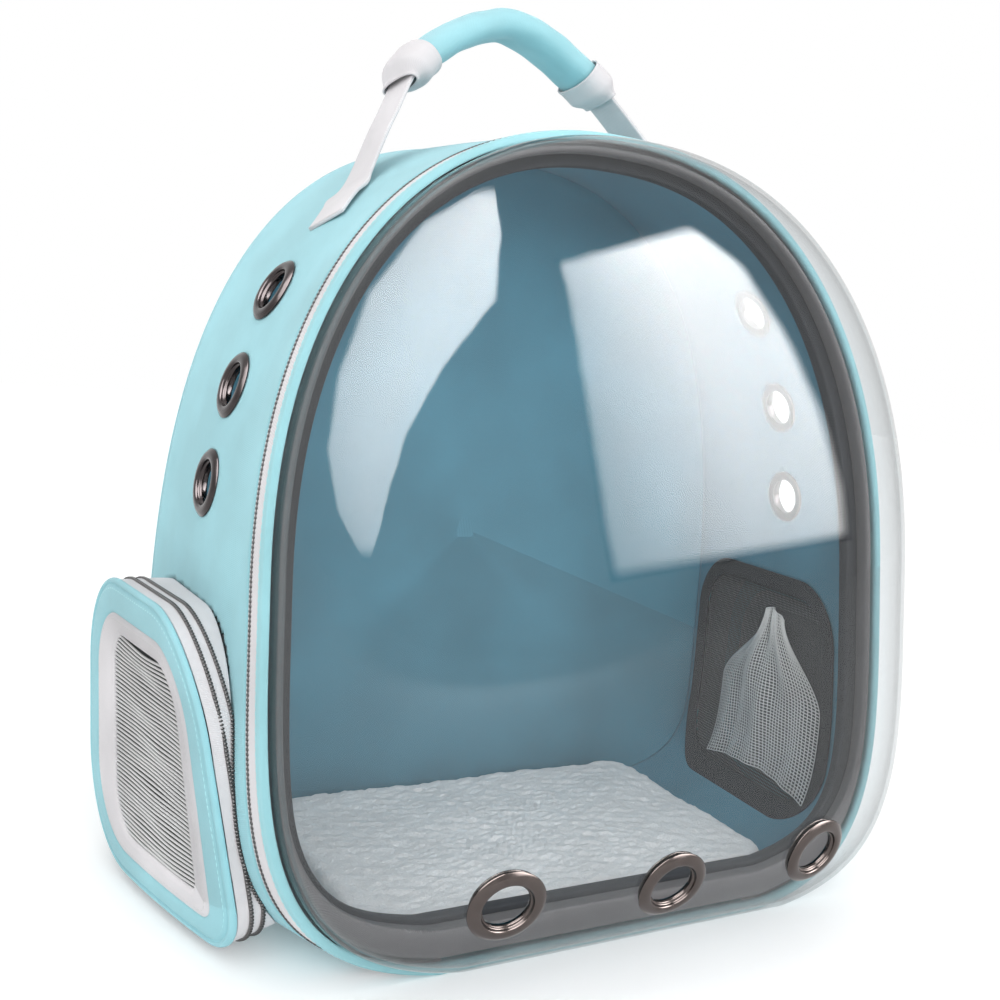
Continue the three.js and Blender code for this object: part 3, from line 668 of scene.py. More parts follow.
AQUA = Cloth("aqua_cloth", (0.575, 0.785, 0.82))
AQUA_RIM = Cloth("aqua_rim_cloth", (0.60, 0.815, 0.845), pitch=0.7, slub=0.2)
# The inner side's teal is darker than the aqua outside partly as painted shade, the shade inside the
# bag, and partly as a bluer colour of its own.
LINING_PAINTED_SHADE = Cloth("teal_lining_painted_shade", (0.33, 0.555, 0.635), pitch=1.1, depth=0.25, slub=0.5, mottle=0.06,
               wrinkle=0.05)
GREY_TAPE = Cloth("light_grey_tape", (0.84, 0.83, 0.84), thread=Thread.RIBBED, pitch=1.3, slub=0.15)
GREY_CLOTH = Cloth("light_grey_cloth", (0.83, 0.82, 0.83), pitch=0.8, slub=0.2)
TWILL_GREY = Cloth("dark_grey_twill", (0.35, 0.34, 0.345), thread=Thread.TWILL, pitch=1.0,
                   depth=0.2, roughness=0.6, sheen=0.1)
BLACK_TAPE = Cloth("black_tape", (0.12, 0.13, 0.15), thread=Thread.TWILL, pitch=0.9, sheen=0.05)
ZIP_TAPE = Cloth("dark_zip_tape", (0.42, 0.41, 0.41), pitch=0.7, slub=0.1)
BASE_GREY = Cloth("mat_base_cloth", (0.46, 0.47, 0.48), pitch=0.9)
NET_DARK = Cloth("dark_net", (0.30, 0.31, 0.32), pitch=0.6, slub=0.1)
NET_GREY = Cloth("grey_net", (0.80, 0.80, 0.80), pitch=0.6, slub=0.1)
NET_PALE = Cloth("pale_net", (0.97, 0.96, 0.95), pitch=0.6, slub=0.1)
# Painted shade: the dark sheet just behind the pocket's net, standing for the shade inside the
# pocket.
NET_SHADE = Cloth("net_shade", (0.33, 0.33, 0.33), pitch=0.6, slub=0.1)
STITCH_AQUA = Cloth("aqua_stitches", (0.66, 0.87, 0.89), pitch=0.5, slub=0.0)
STITCH_GREY = Cloth("grey_stitches", (0.80, 0.80, 0.80), pitch=0.5, slub=0.0)
PILE = Plush("pale_pile", (0.97, 0.965, 0.965))
BUBBLE_CLEAR = Clear("clear_bubble", (0.985, 0.99, 0.992))
# The side rings' plate is darker than the bubble rings' same plate: partly its own dark colour,
# partly painted dark reflection, as the white room has nothing dark for it to mirror.
GUNMETAL = Moulded("gunmetal_plate", (0.27, 0.25, 0.25), metallic=1.0, roughness=0.2)
BUBBLE_METAL = Moulded("bubble_gunmetal_plate", (0.36, 0.33, 0.32), metallic=1.0, roughness=0.2)
COIL = Moulded("dark_zip_coil", (0.20, 0.19, 0.19), roughness=0.35)
BLACK_PLASTIC = Moulded("black_plastic", (0.10, 0.10, 0.11), roughness=0.42, grain=0.05)


# The form that all pieces follow


@dataclass(frozen=True)
class ShellForm:
    """The shell's outline from its leaning front to its upright back."""

    height: float = 400.0
    front_width: float = 358.0
    back_width: float = 373.0
    depth: float = 198.0
    lean: float = math.radians(7.4)
    foot_flat: float = 3.0
    wall: float = 2.5
    back_panel: float = 4.0
    stack: float = 18.6
    places: tuple[float, ...] = (0.0, 0.3, 1.0)
    flares: tuple[float, ...] = (0.0, 0.35, 1.0)
    waists: tuple[float, ...] = (0.455, 0.345, 0.255)
    crowns: tuple[float, ...] = (2.22, 2.35, 2.64)
    feet: tuple[float, ...] = (4.1, 5.2, 4.8)

    def section(self, column: tuple[float, ...], depth: Array) -> Array:
        """One of the outline's values at a depth: straight between rows, with the bend softened."""
        share = np.asarray(depth, float) / self.depth
        near = [np.interp(share + step, self.places, column) for step in (-0.06, 0.0, 0.06)]
        mean = (near[0] + 2 * near[1] + near[2]) / 4
        return np.where((share < 0.08) | (share > 0.94), near[1], mean)

    def girth(self, depth: Array) -> tuple[Array, Array]:
        """Half the width of a section, and the height at which it is widest."""
        half = lerp(self.front_width, self.back_width, self.section(self.flares, depth)) / 2
        return half, self.height * self.section(self.waists, depth)

    def power(self, above: Array, depth: Array) -> Array:
        """The outline's power, above its widest height or below it."""
        return np.where(above, self.section(self.crowns, depth), self.section(self.feet, depth))

    def outline(self, angle: Array, depth: Array) -> tuple[Array, Array]:
        """Across and up of |x/half|^p + |(z - waist)/tall|^p = 1, with its own p above and below."""
        half, waist = self.girth(depth)
        c, s = np.cos(angle), np.sin(angle)
        power = self.power(s > 0, depth)
        reach = (np.abs(c) ** power + np.abs(s) ** power) ** (-1.0 / power)
        tall = np.where(s > 0, self.height - waist, waist)
        return half * reach * c, waist + tall * reach * s

    def inset(self, angle: Array, depth: Array, inset: Array) -> tuple[Array, Array]:
        """The outline moved inwards along its normal, with the underside pressed flat."""
        x, z = self.outline(angle, depth)
        (x0, z0), (x1, z1) = (self.outline(angle + step, depth) for step in (-0.01, 0.01))
        length = np.hypot(x1 - x0, z1 - z0)
        raised = z + inset * (x1 - x0) / length - self.foot_flat
        return x - inset * (z1 - z0) / length, np.maximum(inset, raised)

    def set_down(self, across: Array, up: Array, depth: Array) -> Array:
        """Puts a section into space: it leans with the front and stands upright at the back."""
        sine, cosine = math.sin(self.lean), math.cos(self.lean)
        stay = 1.0 - np.maximum(0.0, depth - self.stack) / (self.depth - self.stack)
        ahead = depth < 0
        y = np.where(ahead, up * sine + depth * cosine, depth + up * sine * stay)
        z = np.where(ahead, up * cosine - depth * sine, up * lerp(1.0, cosine, stay))
        return np.stack(np.broadcast_arrays(across, y - self.depth / 2, z), axis=-1)

    def point(self, angle: Array, depth: Array, inset: Array) -> Array:
        """A point at an angle round the shell, a depth from its front and an inset."""
        whole = (np.asarray(value, float) for value in (angle, depth, inset))
        angle, depth, inset = np.broadcast_arrays(*whole)
        return self.set_down(*self.inset(angle, depth, inset), depth)

    def half_at(self, y: Array, z: Array) -> Array:
        """How far out the shell is at a place back and up: the outline's equation solved for x."""
        old = np.asarray(y, float) + self.depth / 2
        depth, up = old, np.asarray(z, float)
        for _ in range(25):
            stay = 1.0 - np.maximum(0.0, depth - self.stack) / (self.depth - self.stack)
            up = z / lerp(1.0, math.cos(self.lean), stay)
            depth = old - up * math.sin(self.lean) * stay
        half, waist = self.girth(depth)
        rise = up + self.foot_flat - waist
        power = self.power(rise > 0, depth)
        tall = np.where(rise > 0, self.height - waist, waist)
        return half * (1.0 - np.clip(np.abs(rise) / tall, 0.0, 0.999) ** power) ** (1.0 / power)


@dataclass(frozen=True)
class Seat:
    """A place on a surface, the way it faces and how it curves: a^2, ab and b^2 along its sides."""

    point: Array
    normal: Array
    curve: Array | None = None

    def sides(self) -> tuple[Array, Array]:
        """Two directions along the surface."""
        first = unit(np.cross(self.normal, np.array([0.0, 0.0, 1.0])))
        return first, np.cross(self.normal, first)

    def drop(self, a: Array, b: Array) -> Array:
        """How far the surface rises over its tangent plane at a distance along each side."""
        return self.curve[0] * a * a + self.curve[1] * a * b + self.curve[2] * b * b


def crossing(measure: Callable[[float], float], wanted: float, low: float, high: float) -> float:
    """The angle between two others at which a measured value is the one wanted, by halving."""
    rising = measure(high) > measure(low)
    for _ in range(50):
        middle = (low + high) / 2
        if (measure(middle) < wanted) == rising:
            low = middle
        else:
            high = middle
    return (low + high) / 2


def seat_on(surface: Callable[[float, float], Array], u: float, v: float) -> Seat:
    """The seat at two parameters of a surface, facing away from the middle of the bag."""
    step, around = 0.02, 0.08
    point = surface(u, v)
    normal = unit(np.cross(surface(u + step, v) - surface(u - step, v),
                           surface(u, v + step) - surface(u, v - step)))
    seat = Seat(point, normal if normal @ (point - np.array(BAG_MIDDLE)) > 0 else -normal)
    first, second = seat.sides()
    near = np.array([surface(u + around * math.cos(a), v + around * math.sin(a)) - point
                     for a in np.arange(8) * TURN / 8])
    a, b = near @ first, near @ second
    terms = np.column_stack([a * a, a * b, b * b])
    curve = np.linalg.lstsq(terms, near @ seat.normal, rcond=None)[0]
    return Seat(seat.point, seat.normal, curve)


def clear_of(points: Array, seats: dict[str, Seat], hole: float) -> tuple[Array, Array]:
    """The middles of the cells of a grid that joins its columns, and which are clear of the seats."""
    middle = (points[:-1] + points[1:]) / 2
    middle = (middle + np.roll(middle, -1, axis=1)) / 2
    keep = np.ones(middle.shape[:2], bool)
    for seat in seats.values():
        keep &= np.linalg.norm(middle - seat.point, axis=2) > hole
    return middle, keep


FORM = ShellForm()


class SubAssembly:
    """What every group of pieces shares: making, dressing and reporting a piece."""

    def dress(self, piece: bpy.types.Object, finishes: Sequence[Finish], slot: str,
              nodes: Sequence[str] = ()) -> bpy.types.Object:
        """Gives a piece its finishes and its body, and hides and logs the nodes it stands for.

        Args:
            piece: the object.
            finishes: its materials in order.
            slot: the record's slot; not used.
            nodes: the solids it replaces.
        """
        for finish in finishes:
            piece.data.materials.append(material_of(finish))
        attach(piece, BODY)
        if nodes:
            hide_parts(*nodes)
        LOG.info("%s: %d faces, for %s", piece.name, len(piece.data.polygons),
                 ", ".join(nodes) or "itself")
        return piece

    def make(self, name: str, grids: Sequence[Grid], finishes: Sequence[Finish], slot: str,
             nodes: Sequence[str] = ()) -> bpy.types.Object:
        """Makes a piece from grids and dresses it."""
        return self.dress(mesh_of(name, grids), finishes, slot, nodes)


def thicken(piece: bpy.types.Object, thickness: float, inner_slot: int = 0) -> None:
    """Gives a sheet its thickness on the side away from its faces' normals.

    Args:
        piece: the sheet.
        thickness: in millimetres.
        inner_slot: how many finishes further on the inner side's finish is.
    """
    wall = piece.modifiers.new("thickness", "SOLIDIFY")
    wall.thickness = thickness * MM
    wall.offset = -1.0
    wall.material_offset = inner_slot


@dataclass
class Eyelets(SubAssembly):
    """Two-lipped metal rings in the walls and in the bubble; a size is rim, bore and wall."""

    size: tuple[float, float, float] = (17.0, 10.8, 3.0)
    bubble_size: tuple[float, float, float] = (18.0, 11.6, 2.2)
    lip: float = 1.9
    sides: int = 72
    places: tuple[tuple[str, int, float, float], ...] = (
        ("left_upper", -1, 0.755, 0.51), ("left_middle", -1, 0.635, 0.52),
        ("left_lower", -1, 0.514, 0.55), ("right_upper", 1, 0.795, 0.43),
        ("right_middle", 1, 0.654, 0.43), ("right_lower", 1, 0.515, 0.45))

    def profile(self, rim: float, bore: float, wall: float) -> Array:
        """Radius and height of the section: a domed flange, a step in the bore, a flat lip inside."""
        top, foot, middle = self.lip, -wall - 1.5, (rim + bore) / 2 + 0.6
        return softened([
            [bore - 0.9, -wall - 0.6], [bore - 0.9, -0.6], [bore + 0.1, -0.2],
            [bore + 0.3, top * 0.7], [bore + 1.4, top], [middle, top * 0.95],
            [rim - 1.1, top * 0.55], [rim, 0.25], [rim - 0.3, -0.2], [bore + 2.2, -0.3],
            [bore + 1.7, -wall], [rim - 1.4, -wall - 0.1], [rim - 1.6, foot], [bore + 0.4, foot]])

    def ring(self, seat: Seat, rim: float, bore: float, wall: float) -> Grid:
        """The section turned about the seat's normal, following the surface round it."""
        profile = self.profile(rim, bore, wall)
        turned = circle(self.sides)
        first, second = seat.sides()
        a, b = profile[:, :1] * turned[:, 0], profile[:, :1] * turned[:, 1]
        height = profile[:, 1:] + seat.drop(a, b)
        points = seat.point + a[..., None] * first + b[..., None] * second
        points = points + height[..., None] * seat.normal
        return Grid(points, rows_join=True, columns_join=True)

    def side_seats(self) -> dict[str, Seat]:
        """The seats on the two side walls, found by their heights and depths."""
        seats = {}
        for name, side, height, depth in self.places:
            right = crossing(lambda a: float(FORM.point(a, depth * FORM.depth, 0.0)[2]),
                             height * FORM.height, -math.pi / 2, math.pi / 2)
            angle = right if side > 0 else math.pi - right
            seats[name] = seat_on(lambda a, b: FORM.point(a, b * FORM.depth, 0.0), angle, depth)
        return seats

    def build(self, side_seats: dict[str, Seat], bubble_seats: dict[str, Seat]) -> None:
        """Makes all nine rings."""
        for seats, kind, size, finish in (
                # The side rings take the darker plate, which carries painted dark reflection.
                (side_seats, "", self.size, GUNMETAL),
                (bubble_seats, "bubble_", self.bubble_size, BUBBLE_METAL)):
            for name, seat in seats.items():
                self.make(f"ring_{kind}{name}", [self.ring(seat, *size)], [finish], "gunmetal",
                          [f"eyelet_{kind}{name}"])


@dataclass
class Shell(SubAssembly):
    """The cloth wall round the cabin and the panel behind it."""

    rows: int = 76
    columns: int = 500
    hole: float = 14.2
    window_clear: float = 1.4
    panel_centre: tuple[float, float, float] = (0.0, 99.0, 170.0)
    panel_edge: tuple[tuple[float, float], ...] = (
        (0.0, 2.4), (0.25, 0.9), (0.9, 0.2), (1.9, 0.0), (2.9, 0.25), (3.7, 1.0), (4.0, 2.6))

    def dents(self, points: Array) -> Array:
        """How uneven the cloth is, as wide soft dents and narrower ones."""
        return 0.55 * ripple(points, 95.0, 4) + 0.2 * ripple(points, 38.0, 9)

    def wall_grid(self, seats: dict[str, Seat], pockets: Sequence["Pocket"]) -> Grid:
        """The outside of the wall, open at the rings and windows; its dents die out at both edges."""
        depth = np.linspace(FORM.stack, FORM.depth - FORM.back_panel - GAP, self.rows)
        angle = np.linspace(0.0, TURN, self.columns, endpoint=False)
        points = FORM.point(angle[None, :], depth[:, None], 0.0)
        share = np.linspace(0.0, 1.0, self.rows)[:, None]
        fade = smooth_step(share, 0.0, 0.15) * smooth_step(1.0 - share, 0.0, 0.1)
        inwards = (self.dents(points) * 0.5 + 0.5) * fade * smooth_step(points[..., 2], 4.0, 30.0)
        points = FORM.point(angle[None, :], depth[:, None], inwards)
        middle, keep = clear_of(points, seats, self.hole)
        for pocket in pockets:
            keep &= ~pocket.over_window(middle, self.window_clear)
        return Grid(points, columns_join=True, keep=keep)

    def panel_grids(self) -> list[Grid]:
        """The back panel as one closed skin of shrunk outlines: inside, rounded edge, outside."""
        angle = np.linspace(0.0, TURN, self.columns, endpoint=False)[None, :]
        front = FORM.depth - FORM.back_panel
        shares = np.linspace(0.03, 1.0, 60)[:-1, None, None]
        rims = np.stack([FORM.point(angle, front + depth, inset)[0]
                         for depth, inset in self.panel_edge])
        centre = np.array(self.panel_centre)
        inner = centre + (rims[0] - centre) * shares
        flat = rims[0][..., 1].mean()
        swell = 0.8 * ripple(inner, 70.0, 3) * smooth_step(1.0 - shares[..., 0], 0.0, 0.1)
        inner[..., 1] = np.minimum(flat + swell, flat + 0.6)
        outer = centre + (rims[-1] - centre) * shares
        outer[..., 1] = rims[-1][..., 1].mean()
        skin = np.concatenate([inner, rims, outer[::-1]])
        # Slot 1, the inner side, takes the lining with its painted shade; slot 0, the outer side,
        # takes the aqua.
        slot = np.ones((len(skin) - 1, self.columns), int)
        slot[len(inner) + 1:] = 0
        return [Grid(skin, columns_join=True, first_pole=True, last_pole=True, slot=slot)]

    def build(self, seats: dict[str, Seat], pockets: Sequence["Pocket"]) -> None:
        """Makes the wall and the panel."""
        # The inner sides of the wall and of the panel take the lining, whose darker teal is partly
        # painted shade.
        wall = self.make("shell_wall", [self.wall_grid(seats, pockets)], [AQUA, LINING_PAINTED_SHADE],
                         "aqua_cloth", ["side_band"])
        thicken(wall, FORM.wall, 1)
        self.make("back_wall", self.panel_grids(), [AQUA, LINING_PAINTED_SHADE], "aqua_cloth", ["back_panel"])


@dataclass
class FrontFrame(SubAssembly):
    """The rings in front of the wall: zip, cloth rim and the two bindings that hold the bubble."""

    columns: int = 720
    rim_depth: float = 6.2
    rim_wall: float = 4.2
    zip_depth: float = 11.8
    zip_recess: float = 0.4
    tape: float = 2.0
    teeth_at: float = 15.4
    teeth_pitch: float = 2.1
    tooth: tuple[float, float, float] = (2.8, 1.15, 0.8)
    teeth_end: float = 0.01
    seam_at: float = 4.6
    stitch_pitch: float = 3.4
    stitch: tuple[float, float, float] = (2.3, 0.5, 0.35)
    foot_width: float = 8.5
    hinge_half: float = 88.0
    hinge_depth: float = 10.2
    hinge_inset: float = 1.0

    def ring(self, profile: Array) -> Grid:
        """A closed profile of depth and inset, carried round the shell's outline.

        A third column, where there is one, is a point's share of the extra width at the foot.
        """
        angle = np.linspace(0.0, TURN, self.columns, endpoint=False)[None, :]
        inset = profile[:, 1:2]
        if profile.shape[1] > 2:
            foot = smooth_step(-np.sin(angle), 0.5, 0.85)
            inset = inset + profile[:, 2:] * self.foot_width * foot
        return Grid(FORM.point(angle, profile[:, :1], inset), rows_join=True, columns_join=True)

    def arc(self, profile: Array, from_angle: float, to_angle: float) -> Grid:
        """The same profile along a part of the outline, with closed ends."""
        angle = np.linspace(from_angle, to_angle, self.columns)
        points = FORM.point(angle[:, None], profile[None, :, 0], profile[None, :, 1])
        return Grid(points, columns_join=True, first_pole=True, last_pole=True)

    def hinge_angles(self, clearance: float) -> tuple[float, float]:
        """The outline angles of the hinge's two ends, at the foot."""
        edge = crossing(lambda a: float(FORM.point(a, self.hinge_depth, self.hinge_inset)[0]),
                        self.hinge_half + clearance, -math.pi / 2, 0.0)
        return edge, -math.pi - edge

    def line(self, angle: Array, depth: float, inset: float) -> tuple[Array, Array]:
        """A line round the outline and its outward directions."""
        line = FORM.point(angle, depth, inset)
        return line, unit(line - FORM.point(angle, depth, 3.0 + max(0.0, inset)))

    def build_zip(self) -> None:
        """Makes the tape, its teeth over a dark cord of painted shade, and the hinge in its place at
        the foot.
        """
        start = self.rim_depth + GAP
        tape = rounded_profile((start, self.zip_recess),
                               (start + self.zip_depth, self.zip_recess + self.tape), 0.6, 3)
        right, left = self.hinge_angles(GAP)
        self.make("zip_tape", [self.arc(tape, right, left + TURN)], [GREY_TAPE], "grey_webbing",
                  ["main_zip"])
        right, left = right + self.teeth_end, left + TURN - self.teeth_end
        line, outward = self.line(np.linspace(right, left, 1600), self.teeth_at, self.zip_recess)
        teeth = blocks_along("zip_teeth", line, outward, self.teeth_pitch, self.tooth, closed=False,
                             crosswise=True, lift=0.1)
        self.dress(teeth, [COIL], "black_binding")
        # Painted shade: the dark cord under the teeth darkens the gaps between them.
        cord = circle(8) * [0.8, 0.3] + [self.teeth_at, self.zip_recess - 0.02]
        self.make("zip_shadow_cord", [self.arc(cord, right, left)], [ZIP_TAPE], "black_binding")
        right, left = self.hinge_angles(-GAP)
        self.make("hinge_tape", [self.arc(tape, left, right)], [AQUA], "aqua_cloth",
                  ["hinge_cloth"])

    def build_rim(self) -> None:
        """Makes the cloth rim and the stitches round it."""
        back = self.rim_depth - 0.1
        rim = softened([[0.2, 0.5], [1.0, 0.0], [3.0, -0.15], [5.2, 0.0], [back, 0.6],
                        [back, self.rim_wall], [0.2, self.rim_wall]])
        self.make("rim_cloth", [self.ring(rim)], [AQUA_RIM], "aqua_cloth", ["front_rim"])
        seam, outward = self.line(np.linspace(0.0, TURN, 1400, endpoint=False), self.seam_at, -0.05)
        stitches = blocks_along("rim_stitches", seam, outward, self.stitch_pitch, self.stitch)
        self.dress(stitches, [STITCH_AQUA], "aqua_cloth")

    def build_bindings(self) -> None:
        """Makes the dark tape that holds the bubble and the black one behind it."""
        near, inner = self.rim_wall + GAP, self.rim_wall + GAP + self.tape + GAP
        binding = softened([
            [1.4, inner + 0.3, 0.0], [0.5, inner + 1.0, 0.0], [0.2, inner + 2.2, 0.5],
            [0.9, inner + 3.6, 1.0], [3.0, inner + 4.2, 1.0], [8.6, inner + 4.2, 1.0],
            [8.9, inner + 3.4, 1.0], [8.9, near, 0.0], [6.4, near, 0.0], [6.2, inner, 0.0]])
        self.make("bubble_tape", [self.ring(binding)], [TWILL_GREY], "grey_binding",
                  ["bubble_binding"])
        under, end = self.zip_recess + self.tape + GAP, self.rim_depth + GAP + self.zip_depth
        guard = softened([
            [9.3, under, 0.0], [end, under, 0.0], [end, under + 13.0, 0.5],
            [end - 2.0, under + 14.6, 0.5], [10.3, under + 14.6, 0.5], [9.3, under + 13.0, 0.5]])
        self.make("shell_tape", [self.ring(guard)], [BLACK_TAPE], "black_binding", ["shell_binding"])

    def build(self) -> None:
        """Makes the rings from back to front."""
        self.build_zip()
        self.build_rim()
        self.build_bindings()


@dataclass
class Bubble(SubAssembly):
    """The clear door, a dome over the leaning front."""

    bulge: float = 77.0
    wall: float = 1.9
    tuck: float = 6.0
    inset: float = 4.5
    crown_power: float = 2.7
    foot_power: float = 2.4
    roll: float = 1.8
    rows: int = 96
    columns: int = 420
    hole: float = 14.6
    places: tuple[tuple[str, float, float], ...] = (
        ("left", -0.48, 0.126), ("middle", 0.0, 0.116), ("right", 0.48, 0.126))

    def dome(self, angle: Array, turn: Array) -> Array:
        """The edge outline shrunk to (1 - sin(turn)^p)^(1/roll) and set forward to match."""
        angle, turn = np.broadcast_arrays(np.asarray(angle, float), np.asarray(turn, float))
        x0, z0 = FORM.inset(angle, np.zeros_like(angle), self.inset)
        waist = FORM.height * FORM.waists[0]
        upward = smooth_step((np.sin(angle) + 1.0) / 2.0, 0.0, 1.0)
        power = lerp(self.foot_power, self.crown_power, upward)
        shrink = (1.0 - np.sin(turn) ** power) ** (1.0 / self.roll)
        rounder = lerp(2.0, self.roll, smooth_step(shrink, 0.1, 0.55))
        power = lerp(2.55, power, smooth_step(shrink, 0.0, 0.5))
        out = (1.0 - shrink**rounder) ** (1.0 / power)
        depth = -np.maximum(self.bulge * out, 1e-6)
        return FORM.set_down(x0 * shrink, waist + (z0 - waist) * shrink, depth)

    def outside(self) -> Array:
        """The dome's outer surface as a grid of points."""
        angle = np.linspace(0.0, TURN, self.columns, endpoint=False)[None, :]
        return self.dome(angle, np.linspace(0.0, math.pi / 2 - 0.012, self.rows)[:, None])

    def seats(self) -> dict[str, Seat]:
        """The seats of the three rings, found across and up on the dome."""
        found = {}
        for name, across, up in self.places:
            wanted_x, wanted_z = across * FORM.front_width / 2, up * FORM.height

            def angle_at(turn: float) -> float:
                """The angle at which the dome reaches the wanted place across."""
                return crossing(lambda a: float(self.dome(a, turn)[0]), wanted_x, -math.pi, 0.0)

            turn = crossing(lambda t: float(self.dome(angle_at(t), t)[2]), wanted_z, 0.02, 1.3)
            found[name] = seat_on(self.dome, angle_at(turn), turn)
        return found

    def build(self, seats: dict[str, Seat]) -> None:
        """Makes the dome with its tucked edge and three holes."""
        angle = np.linspace(0.0, TURN, self.columns, endpoint=False)[None, :]
        flange = FORM.point(angle, np.linspace(self.tuck, 0.8, 4)[:, None], self.inset)
        points = np.concatenate([flange, self.outside()])
        _, keep = clear_of(points, seats, self.hole)
        grid = Grid(points, columns_join=True, last_pole=True, keep=keep,
                    outwards=np.array([0.0, -1.0, 0.0]))
        dome = self.make("clear_dome", [grid], [BUBBLE_CLEAR], "clear_bubble", ["bubble"])
        thicken(dome, self.wall)


@dataclass(frozen=True)
class Margins:
    """How far a line lies in from the pocket's front, foot, back and top edges."""

    front: float = 0.0
    foot: float = 0.0
    back: float = 0.0
    top: float = 0.0

    def moved(self, by: float, foot_by: float = 0.0) -> "Margins":
        """The same margins, each wider by the same, and the foot's by something more."""
        return Margins(self.front + by, self.foot + by + foot_by, self.back + by, self.top + by)

    def towards(self, other: "Margins", share: float) -> "Margins":
        """Margins between these and others."""
        return Margins(lerp(self.front, other.front, share), lerp(self.foot, other.foot, share),
                       lerp(self.back, other.back, share), lerp(self.top, other.top, share))


EDGE = Margins()


@dataclass
class Pocket(SubAssembly):
    """A side pocket: padded face with a net, gusset with two zips, and the window behind it."""

    side: int
    height: float = 148.0
    lift: float = 5.0
    front_margin: float = 12.0
    back_margin: float = 5.0
    proud: float = 24.0
    splay: float = 15.0
    hang_back: float = 8.0
    hang_front: float = 28.0
    tuck: float = 30.0
    front_foot: float = 24.0
    front_top: float = 52.0
    back_top: float = 50.0
    back_foot: float = 56.0
    face: float = 3.0
    seam: float = 1.0
    hem: Margins = Margins(19.0, 12.0, 17.0, 18.0)
    window: Margins = Margins(30.0, 21.0, 42.0, 27.0)
    opening: Margins = Margins(13.0, 18.0, 13.0, 5.0)
    opening_corner: float = 28.0
    binding: float = 8.0
    rib_pitch: float = 2.1
    rib: tuple[float, float] = (0.66, 0.55)
    thread_pitch: float = 1.9
    thread: float = 0.26
    net_sag: tuple[float, float] = (1.8, 2.6)
    stitch_pitch: float = 3.2
    stitch: tuple[float, float, float] = (2.2, 0.5, 0.35)
    zip_outs: tuple[tuple[str, float], ...] = (("outer", -9.2), ("inner", -14.6))
    tooth_pitch: float = 1.7
    tooth: tuple[float, float, float] = (1.7, 0.95, 0.6)
    least_up: float = 4.0
    gusset_wall: float = 1.8
    mesh_pitch: float = 1.5
    mesh_in: float = 1.25
    gathered: tuple[int, int] = (54, 40)
    length: float = field(init=False)
    deep: float = field(init=False)

    def __post_init__(self) -> None:
        """Works out how long and how deep the pocket is."""
        self.length = FORM.depth - FORM.stack - self.front_margin - self.back_margin
        self.deep = self.proud + 0.2 * FORM.front_width

    @property
    def label(self) -> str:
        """left or right."""
        return "right" if self.side > 0 else "left"

    def name(self, part: str) -> str:
        """A name of the pocket's own."""
        return f"pocket_{self.label}_{part}"

    def outline(self, margins: Margins, corner: float | None = None, arc: int = 16,
                run: int = 18) -> Array:
        """The outline inset by margins: arcs low in front, low and high behind, high in front."""
        low = np.array([margins.front, margins.foot])
        high = np.array([self.length - margins.back, self.height - margins.top])
        spots = (
            (low[0], low[1], 0.5, 1, 1, self.front_foot - (margins.front + margins.foot) / 2),
            (high[0], low[1], 0.75, -1, 1, self.back_foot - (margins.back + margins.foot) / 2),
            (high[0], high[1], 0.0, -1, -1, self.back_top - (margins.back + margins.top) / 2),
            (low[0], high[1], 0.25, 1, -1, self.front_top - (margins.front + margins.top) / 2),
        )
        arcs = []
        for a, b, start, towards_a, towards_b, wanted in spots:
            radius = max(6.0, wanted) if corner is None else corner
            angle = TURN * (start + 0.25 * np.linspace(0.0, 1.0, arc))
            arcs.append(np.column_stack([a + towards_a * radius + radius * np.cos(angle),
                                         b + towards_b * radius + radius * np.sin(angle)]))
        rows = []
        for k, ring in enumerate(arcs):
            after = arcs[(k + 1) % 4][0]
            share = np.linspace(0.0, 1.0, run + 1)[1:-1, None]
            rows += [ring, lerp(ring[-1], after, share)]
        return np.concatenate(rows)

    def place(self, flat: Array, out: Array | float) -> Array:
        """Puts (along, up) into space: the front leans, the face hangs in below and splays back."""
        along, up = flat[..., 0], flat[..., 1]
        z = self.lift + up
        front = z * math.tan(FORM.lean) + FORM.stack + self.front_margin
        share = along / self.length
        y = lerp(front, FORM.depth - self.back_margin, share) - FORM.depth / 2
        hang = lerp(self.hang_back, self.hang_front, (1.0 - share) ** 2) * (1.0 - up / self.height)
        x = FORM.front_width / 2 + self.proud + self.splay * share - hang + out
        return np.stack(np.broadcast_arrays(self.side * x, y, z), axis=-1)

    def loop(self, margins: Margins, out: float) -> Array:
        """The outline in space at a distance out from the face; behind the face its foot rises."""
        tuck = self.tuck * max(0.0, -out - self.face) / (self.deep - self.face)
        return self.place(self.outline(margins.moved(0.0, tuck)), out)

    def flat_of(self, points: Array) -> Array:
        """The (along, up) of points in space."""
        up = points[..., 2] - self.lift
        front = points[..., 2] * math.tan(FORM.lean) + FORM.stack + self.front_margin
        back = FORM.depth - self.back_margin
        share = (points[..., 1] + FORM.depth / 2 - front) / (back - front)
        return np.stack([share * self.length, up], axis=-1)

    def over_window(self, points: Array, clear: float) -> Array:
        """Whether points of the wall lie over the window, or within a clearance of it."""
        flat = self.flat_of(points)
        low = np.array([self.opening.front, self.opening.foot])
        high = np.array([self.length - self.opening.back, self.height - self.opening.top])
        radius = self.opening_corner
        away = np.abs(flat - (low + high) / 2) - ((high - low) / 2 - radius)
        distance = np.linalg.norm(np.maximum(away, 0.0), axis=-1) - radius
        distance = distance + np.minimum(away.max(axis=-1), 0.0)
        return (distance < clear) & (points[..., 0] * self.side > 60.0)

    def ring(self, outer: Margins, inner: Margins, profile: Array, slot: int = 0) -> Grid:
        """A closed profile of (share from outer to inner, margin more, out) round the face."""
        rows = [self.loop(outer.towards(inner, share).moved(more), out)
                for share, more, out in profile]
        return Grid(np.stack(rows), rows_join=True, columns_join=True, slot=slot)

    def on_wall(self, flat: Array, off: Array | float) -> Array:
        """Points of the shell's wall behind (along, up), moved out by off."""
        points = self.place(flat, 0.0)
        points[..., 0] = self.side * (FORM.half_at(points[..., 1], points[..., 2]) + off)
        return points

